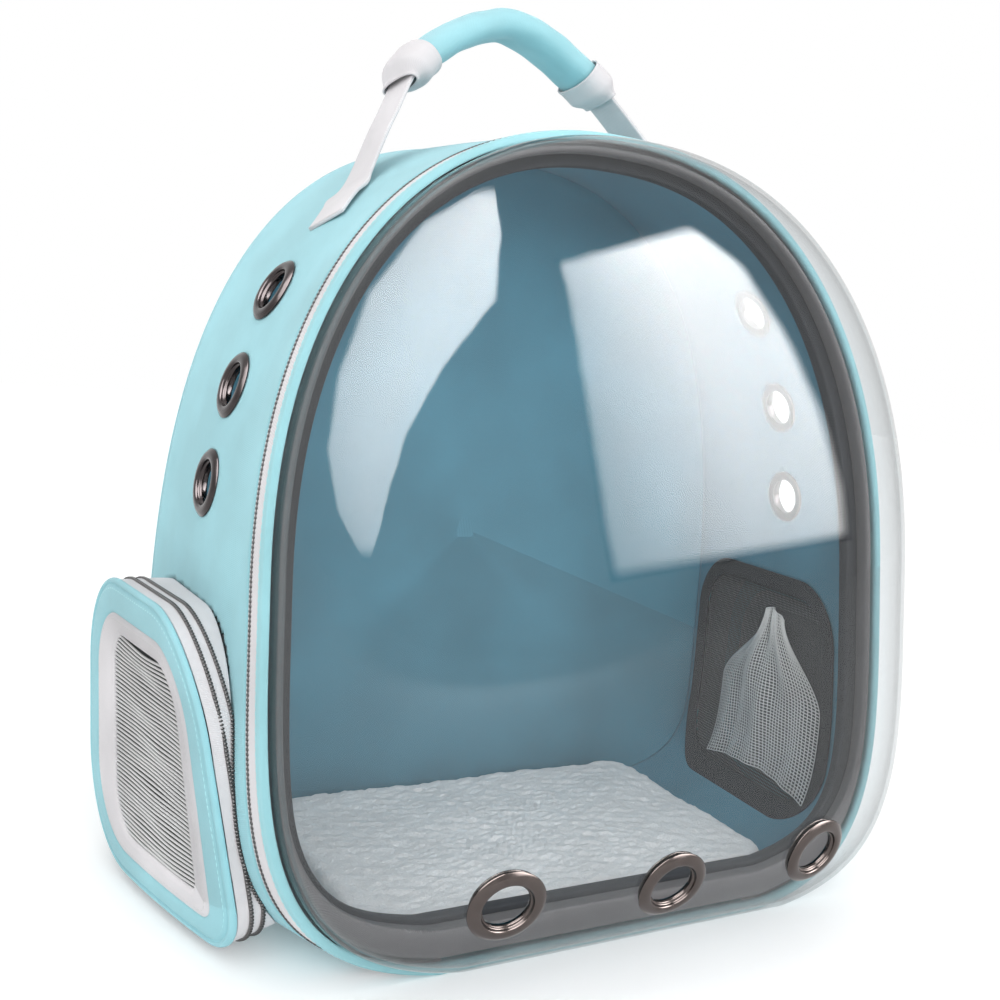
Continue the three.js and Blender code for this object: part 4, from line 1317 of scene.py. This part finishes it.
    def build_face(self) -> None:
        """Makes the padded frame with its sewn edge and its light grey border, with stitches along
        both.
        """
        frame = softened([
            [0.0, 0.6, -3.0], [0.0, 0.0, -2.0], [0.0, 0.1, -0.5], [0.0, 1.0, 0.5], [0.0, 2.0, 0.5],
            [0.0, 2.9, -0.6], [0.0, 3.8, 0.3], [0.35, 0.0, 0.9], [0.75, 0.0, 0.9],
            [1.0, -1.0, 0.3], [1.0, 0.0, -0.9], [1.0, 0.0, -3.0]])
        self.make(self.name("frame"), [self.ring(EDGE, self.hem, frame)], [AQUA], "aqua_cloth",
                  [self.name("face")])
        tape = softened([
            [0.0, -0.5, -2.8], [0.0, -0.9, -0.4], [0.0, 0.6, 0.7], [0.3, 0.0, 0.9],
            [0.7, 0.0, 0.8], [1.0, -1.6, 0.5], [1.0, 0.2, -0.6], [1.0, 0.1, -2.8]])
        self.make(self.name("tape"), [self.ring(self.hem, self.window, tape)], [GREY_CLOTH],
                  "grey_webbing", [self.name("border")])
        outward = np.array([float(self.side), 0.0, 0.0])
        for name, margins, out, finish, slot in (
                ("edge", EDGE.moved(5.2), 0.5, STITCH_AQUA, "aqua_cloth"),
                ("border", self.hem.moved(2.4), 0.75, STITCH_GREY, "grey_webbing")):
            stitches = blocks_along(self.name(f"{name}_stitches"), self.loop(margins, out), outward,
                                    self.stitch_pitch, self.stitch)
            self.dress(stitches, [finish], slot)

    def net_shape(self, flat: Array) -> Array:
        """How far the net sags in from the face."""
        low = np.array([self.window.front, self.window.foot])
        high = np.array([self.length - self.window.back, self.height - self.window.top])
        away = (flat - (low + high) / 2) / ((high - low) / 2)
        hollow = np.prod(np.clip(1.0 - away**2, 0, 1), axis=-1)
        return -self.net_sag[0] - self.net_sag[1] * hollow

    def build_net(self) -> None:
        """Makes the drooping ribs of the pocket's net, the threads across them and a dark sheet of
        painted shade behind them.
        """
        margins = self.window.moved(-1.0)
        outline = self.outline(margins)
        section = circle(6)
        ups = np.arange(margins.foot + 1.0, self.height - margins.top - 0.6, self.rib_pitch)
        alongs = np.arange(margins.front + 1.2, self.length - margins.back - 0.6, self.thread_pitch)
        grids = [self.strand(self.reach(outline, up, 1), up, section * self.rib, 0, 44) for up in ups]
        grids += [self.strand(along, self.reach(outline, along, 0), section[::2] * self.thread, 1, 40)
                  for along in alongs]
        # Painted shade: a dark sheet 2.2 mm behind the net stands for the shade inside the pocket.
        middle = outline.mean(axis=0)
        flat = middle + (outline - middle) * np.linspace(0.0, 1.0, 12)[:, None, None]
        grids.append(Grid(self.place(flat, self.net_shape(flat) - 2.2), columns_join=True,
                          outwards=np.array([float(self.side), 0.0, 0.0]), slot=2))
        self.make(self.name("net"), grids, [NET_GREY, NET_DARK, NET_SHADE], "grey_mesh",
                  [self.name("mesh")])

    def reach(self, outline: Array, value: float, axis: int) -> tuple[float, float]:
        """Where a straight line at a value of one coordinate enters and leaves an outline."""
        other = 1 - axis
        after = np.roll(outline, -1, axis=0)
        crosses = (outline[:, axis] - value) * (after[:, axis] - value) <= 0
        span = after[crosses, axis] - outline[crosses, axis]
        share = (value - outline[crosses, axis]) / np.where(np.abs(span) < 1e-9, 1e-9, span)
        spots = lerp(outline[crosses, other], after[crosses, other], share)
        return float(spots.min()), float(spots.max())

    def flat_line(self, along: object, up: object, steps: int) -> Array:
        """A straight line over the face, along or up, between the two values that one has."""
        share = np.linspace(0.0, 1.0, steps)
        values = [lerp(*value, share) if isinstance(value, tuple) else np.full(steps, value)
                  for value in (along, up)]
        return np.stack(values, axis=-1)

    def strand(self, along: object, up: object, section: Array, slot: int, steps: int) -> Grid:
        """One thread of the net, from end to end of its window; the ribs droop and wander."""
        flat = self.flat_line(along, up, steps)
        path = self.place(flat, self.net_shape(flat) + (0.5 if slot == 0 else -0.3))
        sideways = np.array([0.0, 1.0, 0.0])
        if slot == 0:
            sag = np.sin(math.pi * np.linspace(0.0, 1.0, steps))
            path[:, 2] += sag * (0.5 * ripple(path * [1.0, 1.0, 2.5], 34.0, 14) - 1.3)
            sideways = np.array([0.0, 0.3, 0.95])
        return carried(path, sideways, section, slot=slot)

    def wall_run(self, margins: Margins, off: float) -> tuple[Array, Array]:
        """A loop just behind the face, and where its way straight inwards is off from the wall."""
        near, far = self.loop(margins, -self.face - GAP), self.loop(margins, -self.deep)
        low, high = np.zeros(len(near)), np.ones(len(near))
        for _ in range(30):
            middle = (low + high) / 2
            spot = lerp(near, far, middle[:, None])
            outside = np.abs(spot[:, 0]) > FORM.half_at(spot[:, 1], spot[:, 2]) + off
            low, high = np.where(outside, middle, low), np.where(outside, high, middle)
        return near, lerp(near, far, low[:, None])

    def outwards(self, line: Array) -> Array:
        """The way out of the pocket along a loop, square to it."""
        away = line - line.mean(axis=0)
        away[:, 0] = 0.0
        return unit(away)

    def build_gusset(self) -> None:
        """Makes the soft wall of the pocket and the two zips round it."""
        near, far = self.wall_run(EDGE.moved(self.seam), 0.5)
        share = np.linspace(0.0, 1.0, 40)[:, None, None]
        points = lerp(near, far, share)
        crease = ripple(points, 26.0, 6)[..., None] * 0.35 - 0.2
        points = points + self.outwards(near) * (crease + 0.5) * np.sin(math.pi * share) ** 0.7
        points[..., 2] = np.maximum(points[..., 2], self.least_up + 0.6)
        gusset = self.make(self.name("gusset_cloth"), [Grid(points, columns_join=True)],
                           [GREY_CLOTH], "grey_webbing", [self.name("gusset")])
        self.face_out(gusset)
        thicken(gusset, self.gusset_wall)
        profile = softened([[0.95, 0.9], [0.8, 0.2], [0.0, 0.0], [-0.8, 0.2], [-0.95, 0.9]])
        for name, out in self.zip_outs:
            rows = [self.zip_loop(out + step, more) for step, more in profile]
            grid = Grid(np.stack(rows), rows_join=True, columns_join=True)
            self.make(self.name(f"tape_{name}"), [grid], [ZIP_TAPE], "black_binding",
                      [self.name(f"zip_{name}")])
            line = self.zip_loop(out, 0.05)
            teeth = blocks_along(self.name(f"teeth_{name}"), line, self.outwards(line),
                                 self.tooth_pitch, self.tooth, crosswise=True, lift=0.05)
            self.dress(teeth, [COIL], "black_binding")

    def zip_loop(self, out: float, more: float) -> Array:
        """A line round the gusset that stays off the shell's wall."""
        points = self.loop(EDGE.moved(more), out)
        wall = FORM.half_at(points[..., 1], points[..., 2]) + 0.6
        points[..., 0] = self.side * np.maximum(np.abs(points[..., 0]), wall)
        points[..., 2] = np.maximum(points[..., 2], self.least_up)
        return points

    def face_out(self, piece: bpy.types.Object) -> None:
        """Turns a tube's faces away from the pocket's middle."""
        mesh = piece.data
        middle = np.array([self.side * 0.18, 0.0, 0.075])
        centres = np.empty(len(mesh.polygons) * 3)
        normals = np.empty(len(mesh.polygons) * 3)
        mesh.polygons.foreach_get("center", centres)
        mesh.polygons.foreach_get("normal", normals)
        away = centres.reshape(-1, 3) - middle
        away[:, 0] = 0.0
        if (away * normals.reshape(-1, 3)).sum() < 0:
            mesh.flip_normals()

    def build_window(self) -> None:
        """Makes the black-bound net window behind the pocket, with a gathered net inside it."""
        rows = []
        for more, off in softened([[2.6, -3.2], [2.6, -5.0], [-2.0, -5.8], [-self.binding, -5.0],
                                   [-self.binding, -3.3]]):
            flat = self.outline(self.opening.moved(more), self.opening_corner - more)
            rows.append(self.on_wall(flat, off))
        self.make(f"window_{self.label}_tape",
                  [Grid(np.stack(rows), rows_join=True, columns_join=True)], [BLACK_TAPE],
                  "black_binding", [f"window_{self.label}_binding"])
        outline = self.outline(self.opening, self.opening_corner)
        section = circle(3)
        ups = np.arange(self.opening.foot + 1.0, self.height - self.opening.top, self.mesh_pitch)
        alongs = np.arange(self.opening.front + 1.0, self.length - self.opening.back, self.mesh_pitch)
        lines = [self.flat_line(self.reach(outline, up, 1), up, 46) for up in ups]
        lines += [self.flat_line(along, self.reach(outline, along, 0), 40) for along in alongs]
        sideways = np.array([0.2, 0.6, 0.75])
        grids = [carried(self.on_wall(flat, -self.mesh_in), sideways, section * 0.36)
                 for flat in lines]
        grids += self.gathered_net(section * 0.4)
        self.make(f"window_{self.label}_net", grids, [NET_DARK, NET_PALE], "grey_mesh",
                  [f"window_{self.label}_mesh"])

    def gathered_net(self, section: Array) -> list[Grid]:
        """The pale net bunched up before the window: crossing threads over a folded surface."""
        rows, columns = self.gathered
        up = np.linspace(0.0, 1.0, rows)[:, None]
        along = np.linspace(-1.0, 1.0, columns)[None, :]
        half = 10.0 + 42.0 * smooth_step(1.0 - up, 0.0, 0.5)
        middle = 64.0 + 4.0 * (1.0 - up)
        height = 30.0 + 100.0 * up - 6.0 * along**2
        flat = np.stack(np.broadcast_arrays(middle + along * half, height), axis=-1)
        folds = 2.2 * np.sin(along * 7.0 + 1.5 * np.sin(up * 5.0)) + np.sin(along * 17.0 + up * 6.0)
        round_off = 1.0 - along**2
        bulge = 6.5 * np.clip(round_off, 0.0, 1.0) * np.sin(math.pi * (up * 0.92 + 0.05))
        crease = (folds + 3.2) * np.clip(round_off + 0.05, 0.05, 1.0) * 0.7
        points = self.on_wall(flat, -6.4 - bulge - crease)
        threads = [carried(row, np.array([0.0, 0.2, 1.0]), section, slot=1) for row in points]
        threads += [carried(points[:, k], np.array([0.0, 1.0, 0.1]), section, slot=1)
                    for k in range(columns)]
        return threads

    def build(self) -> None:
        """Makes the whole pocket."""
        self.build_face()
        self.build_net()
        self.build_gusset()
        self.build_window()


@dataclass
class Mat(SubAssembly):
    """The removable mat: a stiff grey base under a plush pad."""

    base_width: float = 274.0
    base_thickness: float = 3.2
    plush_width: float = 246.0
    plush_thickness: float = 11.0
    front: float = -77.8
    back: float = 89.4
    border: float = 5.0
    corners: tuple[float, float] = (24.0, 18.0)
    round_offs: tuple[float, float] = (1.4, 5.0)

    def outline(self, width: float, front: float, back: float, corner: float, z: float) -> Array:
        """A rectangle with round corners, kept inside the wall at a height."""
        ring = rounded_profile((-width / 2, front), (width / 2, back), corner, 10)
        spots = even_spots(np.column_stack([ring, np.full(len(ring), z)]), 2.2, True)
        limit = FORM.half_at(spots[:, 1], spots[:, 2]) - FORM.wall - 0.8
        spots[:, 0] = np.sign(spots[:, 0]) * np.minimum(np.abs(spots[:, 0]), limit)
        return spots

    def pad(self, outline: Array, low: float, high: float, round_off: float, rows: int) -> Array:
        """Shrunk outlines from the underside's middle, over a round edge, to the top's middle."""
        centre = np.array([0.0, (self.front + self.back) / 2, 0.0])
        edge = np.linspace(-math.pi / 2, math.pi / 2, 9)
        reach = np.linalg.norm(outline - centre, axis=1, keepdims=True)
        rims = []
        for angle in edge:
            shrink = 1.0 - round_off * (1.0 - math.cos(angle)) / reach
            ring = centre + (outline - centre) * shrink
            ring[:, 2] = lerp(low, high, (math.sin(angle) + 1.0) / 2.0)
            rims.append(ring)
        top, foot = [], []
        for share in np.linspace(0.02, 1.0, rows)[:-1]:
            for rim, rings in ((rims[-1], top), (rims[0], foot)):
                ring = centre + (rim - centre) * share
                ring[:, 2] = rim[:, 2]
                rings.append(ring)
        return np.stack(foot[:: 6] + rims + top[::-1])

    def build(self) -> None:
        """Makes the base and the pad."""
        z = FORM.wall + GAP
        outline = self.outline(self.base_width, self.front, self.back, self.corners[0], z)
        base = self.pad(outline, z, z + self.base_thickness, self.round_offs[0], 24)
        self.make("mat_board", [Grid(base, columns_join=True, first_pole=True, last_pole=True)],
                  [BASE_GREY], "grey_binding", ["mat_base"])
        low = z + self.base_thickness + GAP
        outline = self.outline(self.plush_width, self.front + self.border, self.back - self.border,
                               self.corners[1], low)
        pad = self.pad(outline, low, low + self.plush_thickness, self.round_offs[1], 90)
        top = smooth_step(pad[..., 2], low + 4.0, low + self.plush_thickness - 0.5)
        tufts = 0.9 * ripple(pad, 7.0, 21) + 0.6 * ripple(pad, 3.6, 22) + 1.3 * ripple(pad, 45.0, 23)
        pad[..., 2] += top * (tufts * 0.55 - 0.6)
        edge = ripple(pad, 4.5, 31) * 0.8 * smooth_step(pad[..., 2], low + 1.0, low + 4.0)
        pad[..., 0] += edge * 0.5
        pad[..., 1] += edge * 0.5
        piece = self.make("plush_pad",
                          [Grid(pad, columns_join=True, first_pole=True, last_pole=True)], [PILE],
                          "plush", ["mat_plush"])


@dataclass
class Handle(SubAssembly):
    """The top handle: webbing sewn to the crown, a padded grip and two cuffs."""

    web_width: float = 28.0
    web: float = 2.0
    foot: tuple[tuple[float, float], ...] = ((131.0, 87.0), (121.0, 96.0), (111.0, 106.0))
    span: float = 96.0
    rise: float = 64.0
    depth: float = 145.0
    flop: float = -27.0
    arch_left: float = 27.0
    arch_right: float = 17.0
    shoulder_share: float = 0.5
    shoulder_out: float = 2.0
    grip_width: float = 36.0
    grip_thickness: float = 17.0
    grip_from: float = 0.388
    grip_to: float = 0.612
    cuff_lap: float = 5.0
    cuff_past: float = 15.0
    cuff_wall: float = 0.9

    def crown_point(self, across: float, depth: float, raise_by: float) -> Array:
        """A point on the crown at a distance across, raised off the cloth."""
        right = crossing(lambda a: float(FORM.point(a, depth, -raise_by)[0]), abs(across),
                         math.pi / 2, 0.0)
        return FORM.point(right if across > 0 else math.pi - right, depth, -raise_by)

    def knots(self) -> Array:
        """The middle line's knots, from the left foot over the grip to the right foot."""
        crown = float(FORM.point(math.pi / 2, self.foot[0][1], 0.0)[2])
        peak = np.array([self.flop, self.depth - FORM.depth / 2, crown + self.rise])
        rows = {}
        for side, drop in ((-1, self.arch_left), (1, self.arch_right)):
            foot = [self.crown_point(side * across, depth, GAP + self.web / 2)
                    for across, depth in self.foot]
            end = peak + np.array([side * self.span / 2, 0.0, -drop])
            shoulder = lerp(foot[-1], end, self.shoulder_share)
            shoulder = shoulder + np.array([side * self.shoulder_out, 0.0, 0.0])
            rows[side] = foot + [shoulder, end]
        return np.array(rows[-1] + [peak] + rows[1][::-1])

    def build(self) -> None:
        """Makes the webbing, the grip and the cuffs along one line."""
        knots = self.knots()
        sideways = np.array([0.0, 1.0, 0.0])
        web = box_section(self.web_width, self.web, 0.7)
        path = curve_through(knots, np.linspace(0.0, 1.0, 160))
        self.make("handle_web", [carried(path, sideways, web)], [GREY_TAPE], "grey_webbing",
                  ["handle_webbing"])
        section = oval(40, (self.grip_width, self.grip_thickness), (0.85, 0.85))
        path = curve_through(knots, np.linspace(self.grip_from, self.grip_to, 90))
        along = np.linspace(-1.0, 1.0, len(path))
        bend = np.exp(-((along / 0.16) ** 2))
        swell = np.column_stack([1.0 - 0.05 * bend, 1.0 + 0.05 * bend])
        grip = carried(path, sideways, section, swell=swell)
        away = unit(grip.points - path[:, None, :])
        under = np.clip(-away[..., 2], 0.0, 1.0) * bend[:, None]
        dents = 0.35 * ripple(grip.points, 16.0, 5) - 0.2 - 1.8 * under
        grip.points = grip.points + away * dents[..., None]
        piece = self.make("handle_pad", [grip], [AQUA], "aqua_cloth", ["handle_grip"])
        shares = np.linspace(0.0, 1.0, 801)
        steps = np.linalg.norm(np.diff(curve_through(knots, shares), axis=0), axis=1)
        lengths = np.concatenate([[0.0], np.cumsum(steps)])
        for name, end, way in (("left", self.grip_from, 1.0), ("right", self.grip_to, -1.0)):
            middle = np.interp(end, shares, lengths)
            spots = [middle + way * self.cuff_lap, middle - way * self.cuff_past]
            inner, outer = np.interp(spots, lengths, shares)
            self.build_cuff(name, curve_through(knots, np.linspace(inner, outer, 30)), section)

    def build_cuff(self, name: str, path: Array, section: Array) -> None:
        """Makes one cuff: snug round the grip's end, then closing round the webbing, with hems."""
        share = np.linspace(0.0, 1.0, len(path))
        close = smooth_step(share, 0.55, 1.0)
        hem = sum(high * np.exp(-(((share - at) / 0.05) ** 2))
                  for high, at in ((0.5, 0.05), (0.6, 0.96)))
        width = lerp(self.grip_width + 2.2, self.web_width + 4.0, close) + hem
        thick = lerp(self.grip_thickness + 2.2, self.web + 5.0, close) + hem
        swell = np.column_stack([width / self.grip_width, thick / self.grip_thickness])
        cuff = carried(path, np.array([0.0, 1.0, 0.0]), section, swell=swell)
        cuff.first_pole = cuff.last_pole = False
        piece = self.make(f"handle_wrap_{name}", [cuff], [GREY_CLOTH], "grey_webbing",
                          [f"handle_cuff_{name}"])
        thicken(piece, self.cuff_wall)


@dataclass
class Strap(SubAssembly):
    """A shoulder strap: a padded upper part, an adjuster, and webbing down the panel."""

    side: int
    width: float = 58.0
    thickness: float = 9.0
    bow: float = 34.0
    web_width: float = 25.0
    web: float = 1.8
    buckle_length: float = 22.0
    buckle: tuple[float, float] = (36.0, 8.0)
    buckle_slot: tuple[float, float] = (27.0, 3.8)
    line: tuple[tuple[float, float, float], ...] = (
        (0.23, 0.89, 0.0), (0.24, 0.84, 0.0), (0.32, 0.68, 0.85), (0.39, 0.5, 1.0),
        (0.44, 0.34, 0.75), (0.56, 0.2, 0.38), (0.68, 0.085, 0.0), (0.715, 0.055, 0.0))
    pad_end: int = 4

    @property
    def label(self) -> str:
        """left or right."""
        return "right" if self.side > 0 else "left"

    def knots(self) -> Array:
        """The strap's middle line down the panel."""
        rows = []
        for index, (out, up, off) in enumerate(self.line):
            thick = self.thickness if index <= self.pad_end else self.web
            behind = FORM.depth / 2 + GAP + thick / 2 + off * self.bow
            rows.append([self.side * out * FORM.back_width / 2, behind, up * FORM.height])
        return np.array(rows)

    def build(self) -> None:
        """Makes the pad, the adjuster and the webbing."""
        knots = self.knots()
        across = np.array([float(self.side), 0.0, 0.0])
        end = self.pad_end / (len(knots) - 1)
        path = curve_through(knots, np.linspace(0.0, end, 110))
        section = oval(48, (self.width, self.thickness), (0.6, 0.7))
        taper = np.ones((len(path), 2))
        taper[:, 0] = 1.0 - 0.45 * smooth_step(np.linspace(0, 1, len(path)), 0.82, 1.0)
        pad = carried(path, across, section, swell=taper)
        pad.points[..., 1] = np.maximum(pad.points[..., 1], FORM.depth / 2 + GAP)
        piece = self.make(f"strap_{self.label}_cushion", [pad], [AQUA], "aqua_cloth",
                          [f"strap_{self.label}_pad"])
        whole = curve_through(knots, np.linspace(0, 1, 400))
        length = np.linalg.norm(np.diff(whole, axis=0), axis=1).sum()
        start = end + 2 * GAP / length
        path = curve_through(knots, np.linspace(start, start + self.buckle_length / length, 12))
        outer, inner = (carried(path, across, ring).points for ring in (
            box_section(*self.buckle, 2.6, 4), box_section(*self.buckle_slot, 0.6, 4)))
        buckle = Grid(np.concatenate([outer, inner[::-1]]), rows_join=True, columns_join=True)
        self.make(f"strap_{self.label}_buckle", [buckle], [BLACK_PLASTIC], "black_plastic",
                  [f"strap_{self.label}_adjuster"])
        web = box_section(self.web_width, self.web, 0.7)
        tail = carried(curve_through(knots, np.linspace(start, 1.0, 80)), across, web)
        tail.points[..., 1] = np.maximum(tail.points[..., 1], FORM.depth / 2 + GAP)
        self.make(f"strap_{self.label}_web", [tail], [GREY_TAPE], "grey_webbing",
                  [f"strap_{self.label}_webbing"])


Chain = tuple[tuple[float, float], ...]


@dataclass
class Studio:
    """The floor, the lamps, the camera and the softbox cards that the bubble mirrors.

    centre and the cards' chains are places in the photograph's frame, from its top left. A card's
    two chains are its left and right edges as the bubble shows them.
    """

    camera_at: tuple[float, float, float] = (-333.5, -567.3, 284.9)
    azimuth: float = math.radians(30.74)
    dip: float = math.radians(4.28)
    roll: float = math.radians(4.93)
    focal: float = 1212.49
    centre: tuple[float, float] = (558.31, 439.97)
    frame: float = 1000.0
    card_reach: float = 1400.0
    card_cells: tuple[int, int] = (25, 13)
    past_dome: float = 620.0
    cards: tuple[tuple[Glow, Chain, Chain], ...] = (
        (Glow("left_card", 19.0, 0.75, 0.35),
         ((486, 184), (420, 222), (365, 292), (335, 375), (325, 450), (335, 510), (362, 560)),
         ((494, 184), (503, 235), (499, 300), (445, 368), (410, 430), (388, 500), (370, 562))),
        (Glow("right_card", 25.0, 0.4, 0.4),
         ((556, 258), (566, 300), (577, 370), (588, 440), (600, 520), (612, 583)),
         ((690, 222), (745, 262), (795, 340), (830, 420), (848, 490), (852, 540))))
    lamps: tuple[tuple[str, Chain, float], ...] = (
        ("left_box", ((-1.6, -1.0, 1.3), (0.9, 1.2)), 1.6),
        ("top_box", ((0.2, -0.2, 1.9), (1.2, 1.2)), 2.0),
        ("front_box", ((-0.3, -1.9, 0.9), (1.0, 1.0)), 15.0))

    def axes(self) -> tuple[Array, Array, Array]:
        """The camera's right, its up and the way it looks."""
        level = math.cos(self.dip)
        forward = np.array([math.sin(self.azimuth) * level, math.cos(self.azimuth) * level,
                            -math.sin(self.dip)])
        right = np.array([math.cos(self.azimuth), -math.sin(self.azimuth), 0.0])
        up = np.cross(right, forward)
        side = math.cos(self.roll) * right + math.sin(self.roll) * up
        return side, -math.sin(self.roll) * right + math.cos(self.roll) * up, forward

    def mirrored(self, dome: Array, pixels: Array) -> Array:
        """Where sight lines through places in the frame end up once the dome has mirrored them.

        Args:
            dome: the dome's outside as a grid of points.
            pixels: n x 2 places in the frame, from its top left.
        """
        around = np.roll(dome, -1, axis=1) - np.roll(dome, 1, axis=1)
        normals = unit(np.cross(around, np.gradient(dome, axis=0)))
        cells = Grid(dome, columns_join=True).cells()[0]
        tree = BVHTree.FromPolygons(dome.reshape(-1, 3).tolist(), cells.tolist())
        side, top, forward = self.axes()
        eye, flat, tilt = np.array(self.camera_at), dome.reshape(-1, 3), normals.reshape(-1, 3)
        ends = []
        for x, y in (pixels - np.array(self.centre)) / self.focal:
            way = unit(side * x - top * y + forward)
            hit, _, index, _ = tree.ray_cast(Vector(eye), Vector(way))
            if hit is None:
                hit, _, index, _ = tree.find_nearest(Vector(eye + way * self.past_dome))
            spot = np.array(hit)
            weight = 1.0 / (np.linalg.norm(flat[cells[index]] - spot, axis=1) + 0.01)
            normal = unit((tilt[cells[index]] * weight[:, None]).sum(axis=0))
            ends.append(spot + (way - 2.0 * (way @ normal) * normal) * self.card_reach)
        return np.array(ends)

    def along_chain(self, chain: Array, shares: Array) -> Array:
        """Places at shares of a chain, even between its points."""
        spots = np.linspace(0, 1, len(chain))
        return np.column_stack([np.interp(shares, spots, chain[:, k]) for k in (0, 1)])

    def build_cards(self, dome: Array) -> None:
        """Stands softboxes where the bubble mirrors them into the places that the photo shows."""
        rows, columns = self.card_cells
        steps, across = np.linspace(0.0, 1.0, rows), np.linspace(0.0, 1.0, columns)
        for glow, *chains in self.cards:
            left, right = (self.along_chain(np.array(chain, float), steps) for chain in chains)
            pixels = lerp(left[:, None], right[:, None], across[None, :, None])
            points = self.mirrored(dome, pixels.reshape(-1, 2))
            cells, _ = Grid(points.reshape(rows, columns, 3)).cells()
            u, v = np.meshgrid(across, steps)
            uv = np.stack([u, v], axis=-1).reshape(-1, 2)[cells.ravel()] / MM
            card = object_from(glow.name, points, cells.ravel(), np.full(len(cells), 4), uv, None)
            card.data.materials.append(material_of(glow))
            card.visible_camera = card.visible_diffuse = False
            card.visible_shadow = card.visible_transmission = False

    def build_camera(self) -> None:
        """Stands the camera where the photograph was taken from."""
        side, top, forward = self.axes()
        data = bpy.data.cameras.new("camera")
        data.sensor_width = 36.0
        data.lens = self.focal * data.sensor_width / self.frame
        data.shift_x = (self.frame / 2 - self.centre[0]) / self.frame
        data.shift_y = (self.centre[1] - self.frame / 2) / self.frame
        data.clip_start = 0.01
        camera = bpy.data.objects.new("camera", data)
        axes = np.column_stack([side, top, -forward])
        place = Matrix.Translation(Vector(self.camera_at) * MM)
        camera.matrix_world = place @ Matrix(axes.tolist()).to_4x4()
        bpy.context.scene.collection.objects.link(camera)
        bpy.context.scene.camera = camera

    def build_floor(self) -> None:
        """A pale floor that runs on past the view."""
        spots = np.linspace(-4000.0, 4000.0, 3)
        x, y = np.meshgrid(spots, spots)
        grid = Grid(np.stack([x, y, np.zeros_like(x)], axis=2), outwards=np.array([0.0, 0.0, 1.0]))
        floor = mesh_of("floor", [grid])
        kit = Nodes("pale_floor")
        kit.surface(Base_Color=(0.97, 0.97, 0.97, 1.0), Roughness=0.9, Specular_IOR_Level=0.0,
                    Emission_Color=WHITE, Emission_Strength=0.1)
        floor.data.materials.append(kit.material)

    def add_lamp(self, name: str, at: Sequence[float], size: Sequence[float], power: float) -> None:
        """A soft rectangular lamp that faces the bag."""
        data = bpy.data.lights.new(name, "AREA")
        data.shape = "RECTANGLE"
        data.size, data.size_y = size
        data.energy = power
        lamp = bpy.data.objects.new(name, data)
        lamp.location = at
        lamp.visible_glossy = False
        way = Vector(BAG_MIDDLE) * MM - Vector(at)
        lamp.rotation_euler = way.to_track_quat("-Z", "Y").to_euler()
        bpy.context.scene.collection.objects.link(lamp)

    def build_light(self) -> None:
        """White surroundings, soft lamps to the left and in front, and one above."""
        world = bpy.data.worlds.new("white_room")
        world.use_nodes = True
        background = world.node_tree.nodes["Background"]
        background.inputs[0].default_value = WHITE
        background.inputs[1].default_value = 1.0
        bpy.context.scene.world = world
        for name, (at, size), power in self.lamps:
            self.add_lamp(name, at, size, power)
        bpy.context.scene.view_settings.view_transform = "Standard"

    def build(self, dome: Array) -> None:
        """Sets the whole studio."""
        self.build_cards(dome)
        self.build_camera()
        self.build_floor()
        self.build_light()


def main() -> None:
    """Builds the bag around its solids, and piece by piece."""
    logging.basicConfig(level=logging.INFO, format="%(name)s: %(message)s")
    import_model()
    bubble, rings = Bubble(), Eyelets()
    Studio().build(bubble.outside())
    bubble_seats, side_seats = bubble.seats(), rings.side_seats()
    pockets = [Pocket(side) for side in (-1, 1)]
    Shell().build(side_seats, pockets)
    FrontFrame().build()
    bubble.build(bubble_seats)
    rings.build(side_seats, bubble_seats)
    for pocket in pockets:
        pocket.build()
    Mat().build()
    Handle().build()
    for side in (-1, 1):
        Strap(side).build()


if __name__ == "__main__":
    main()
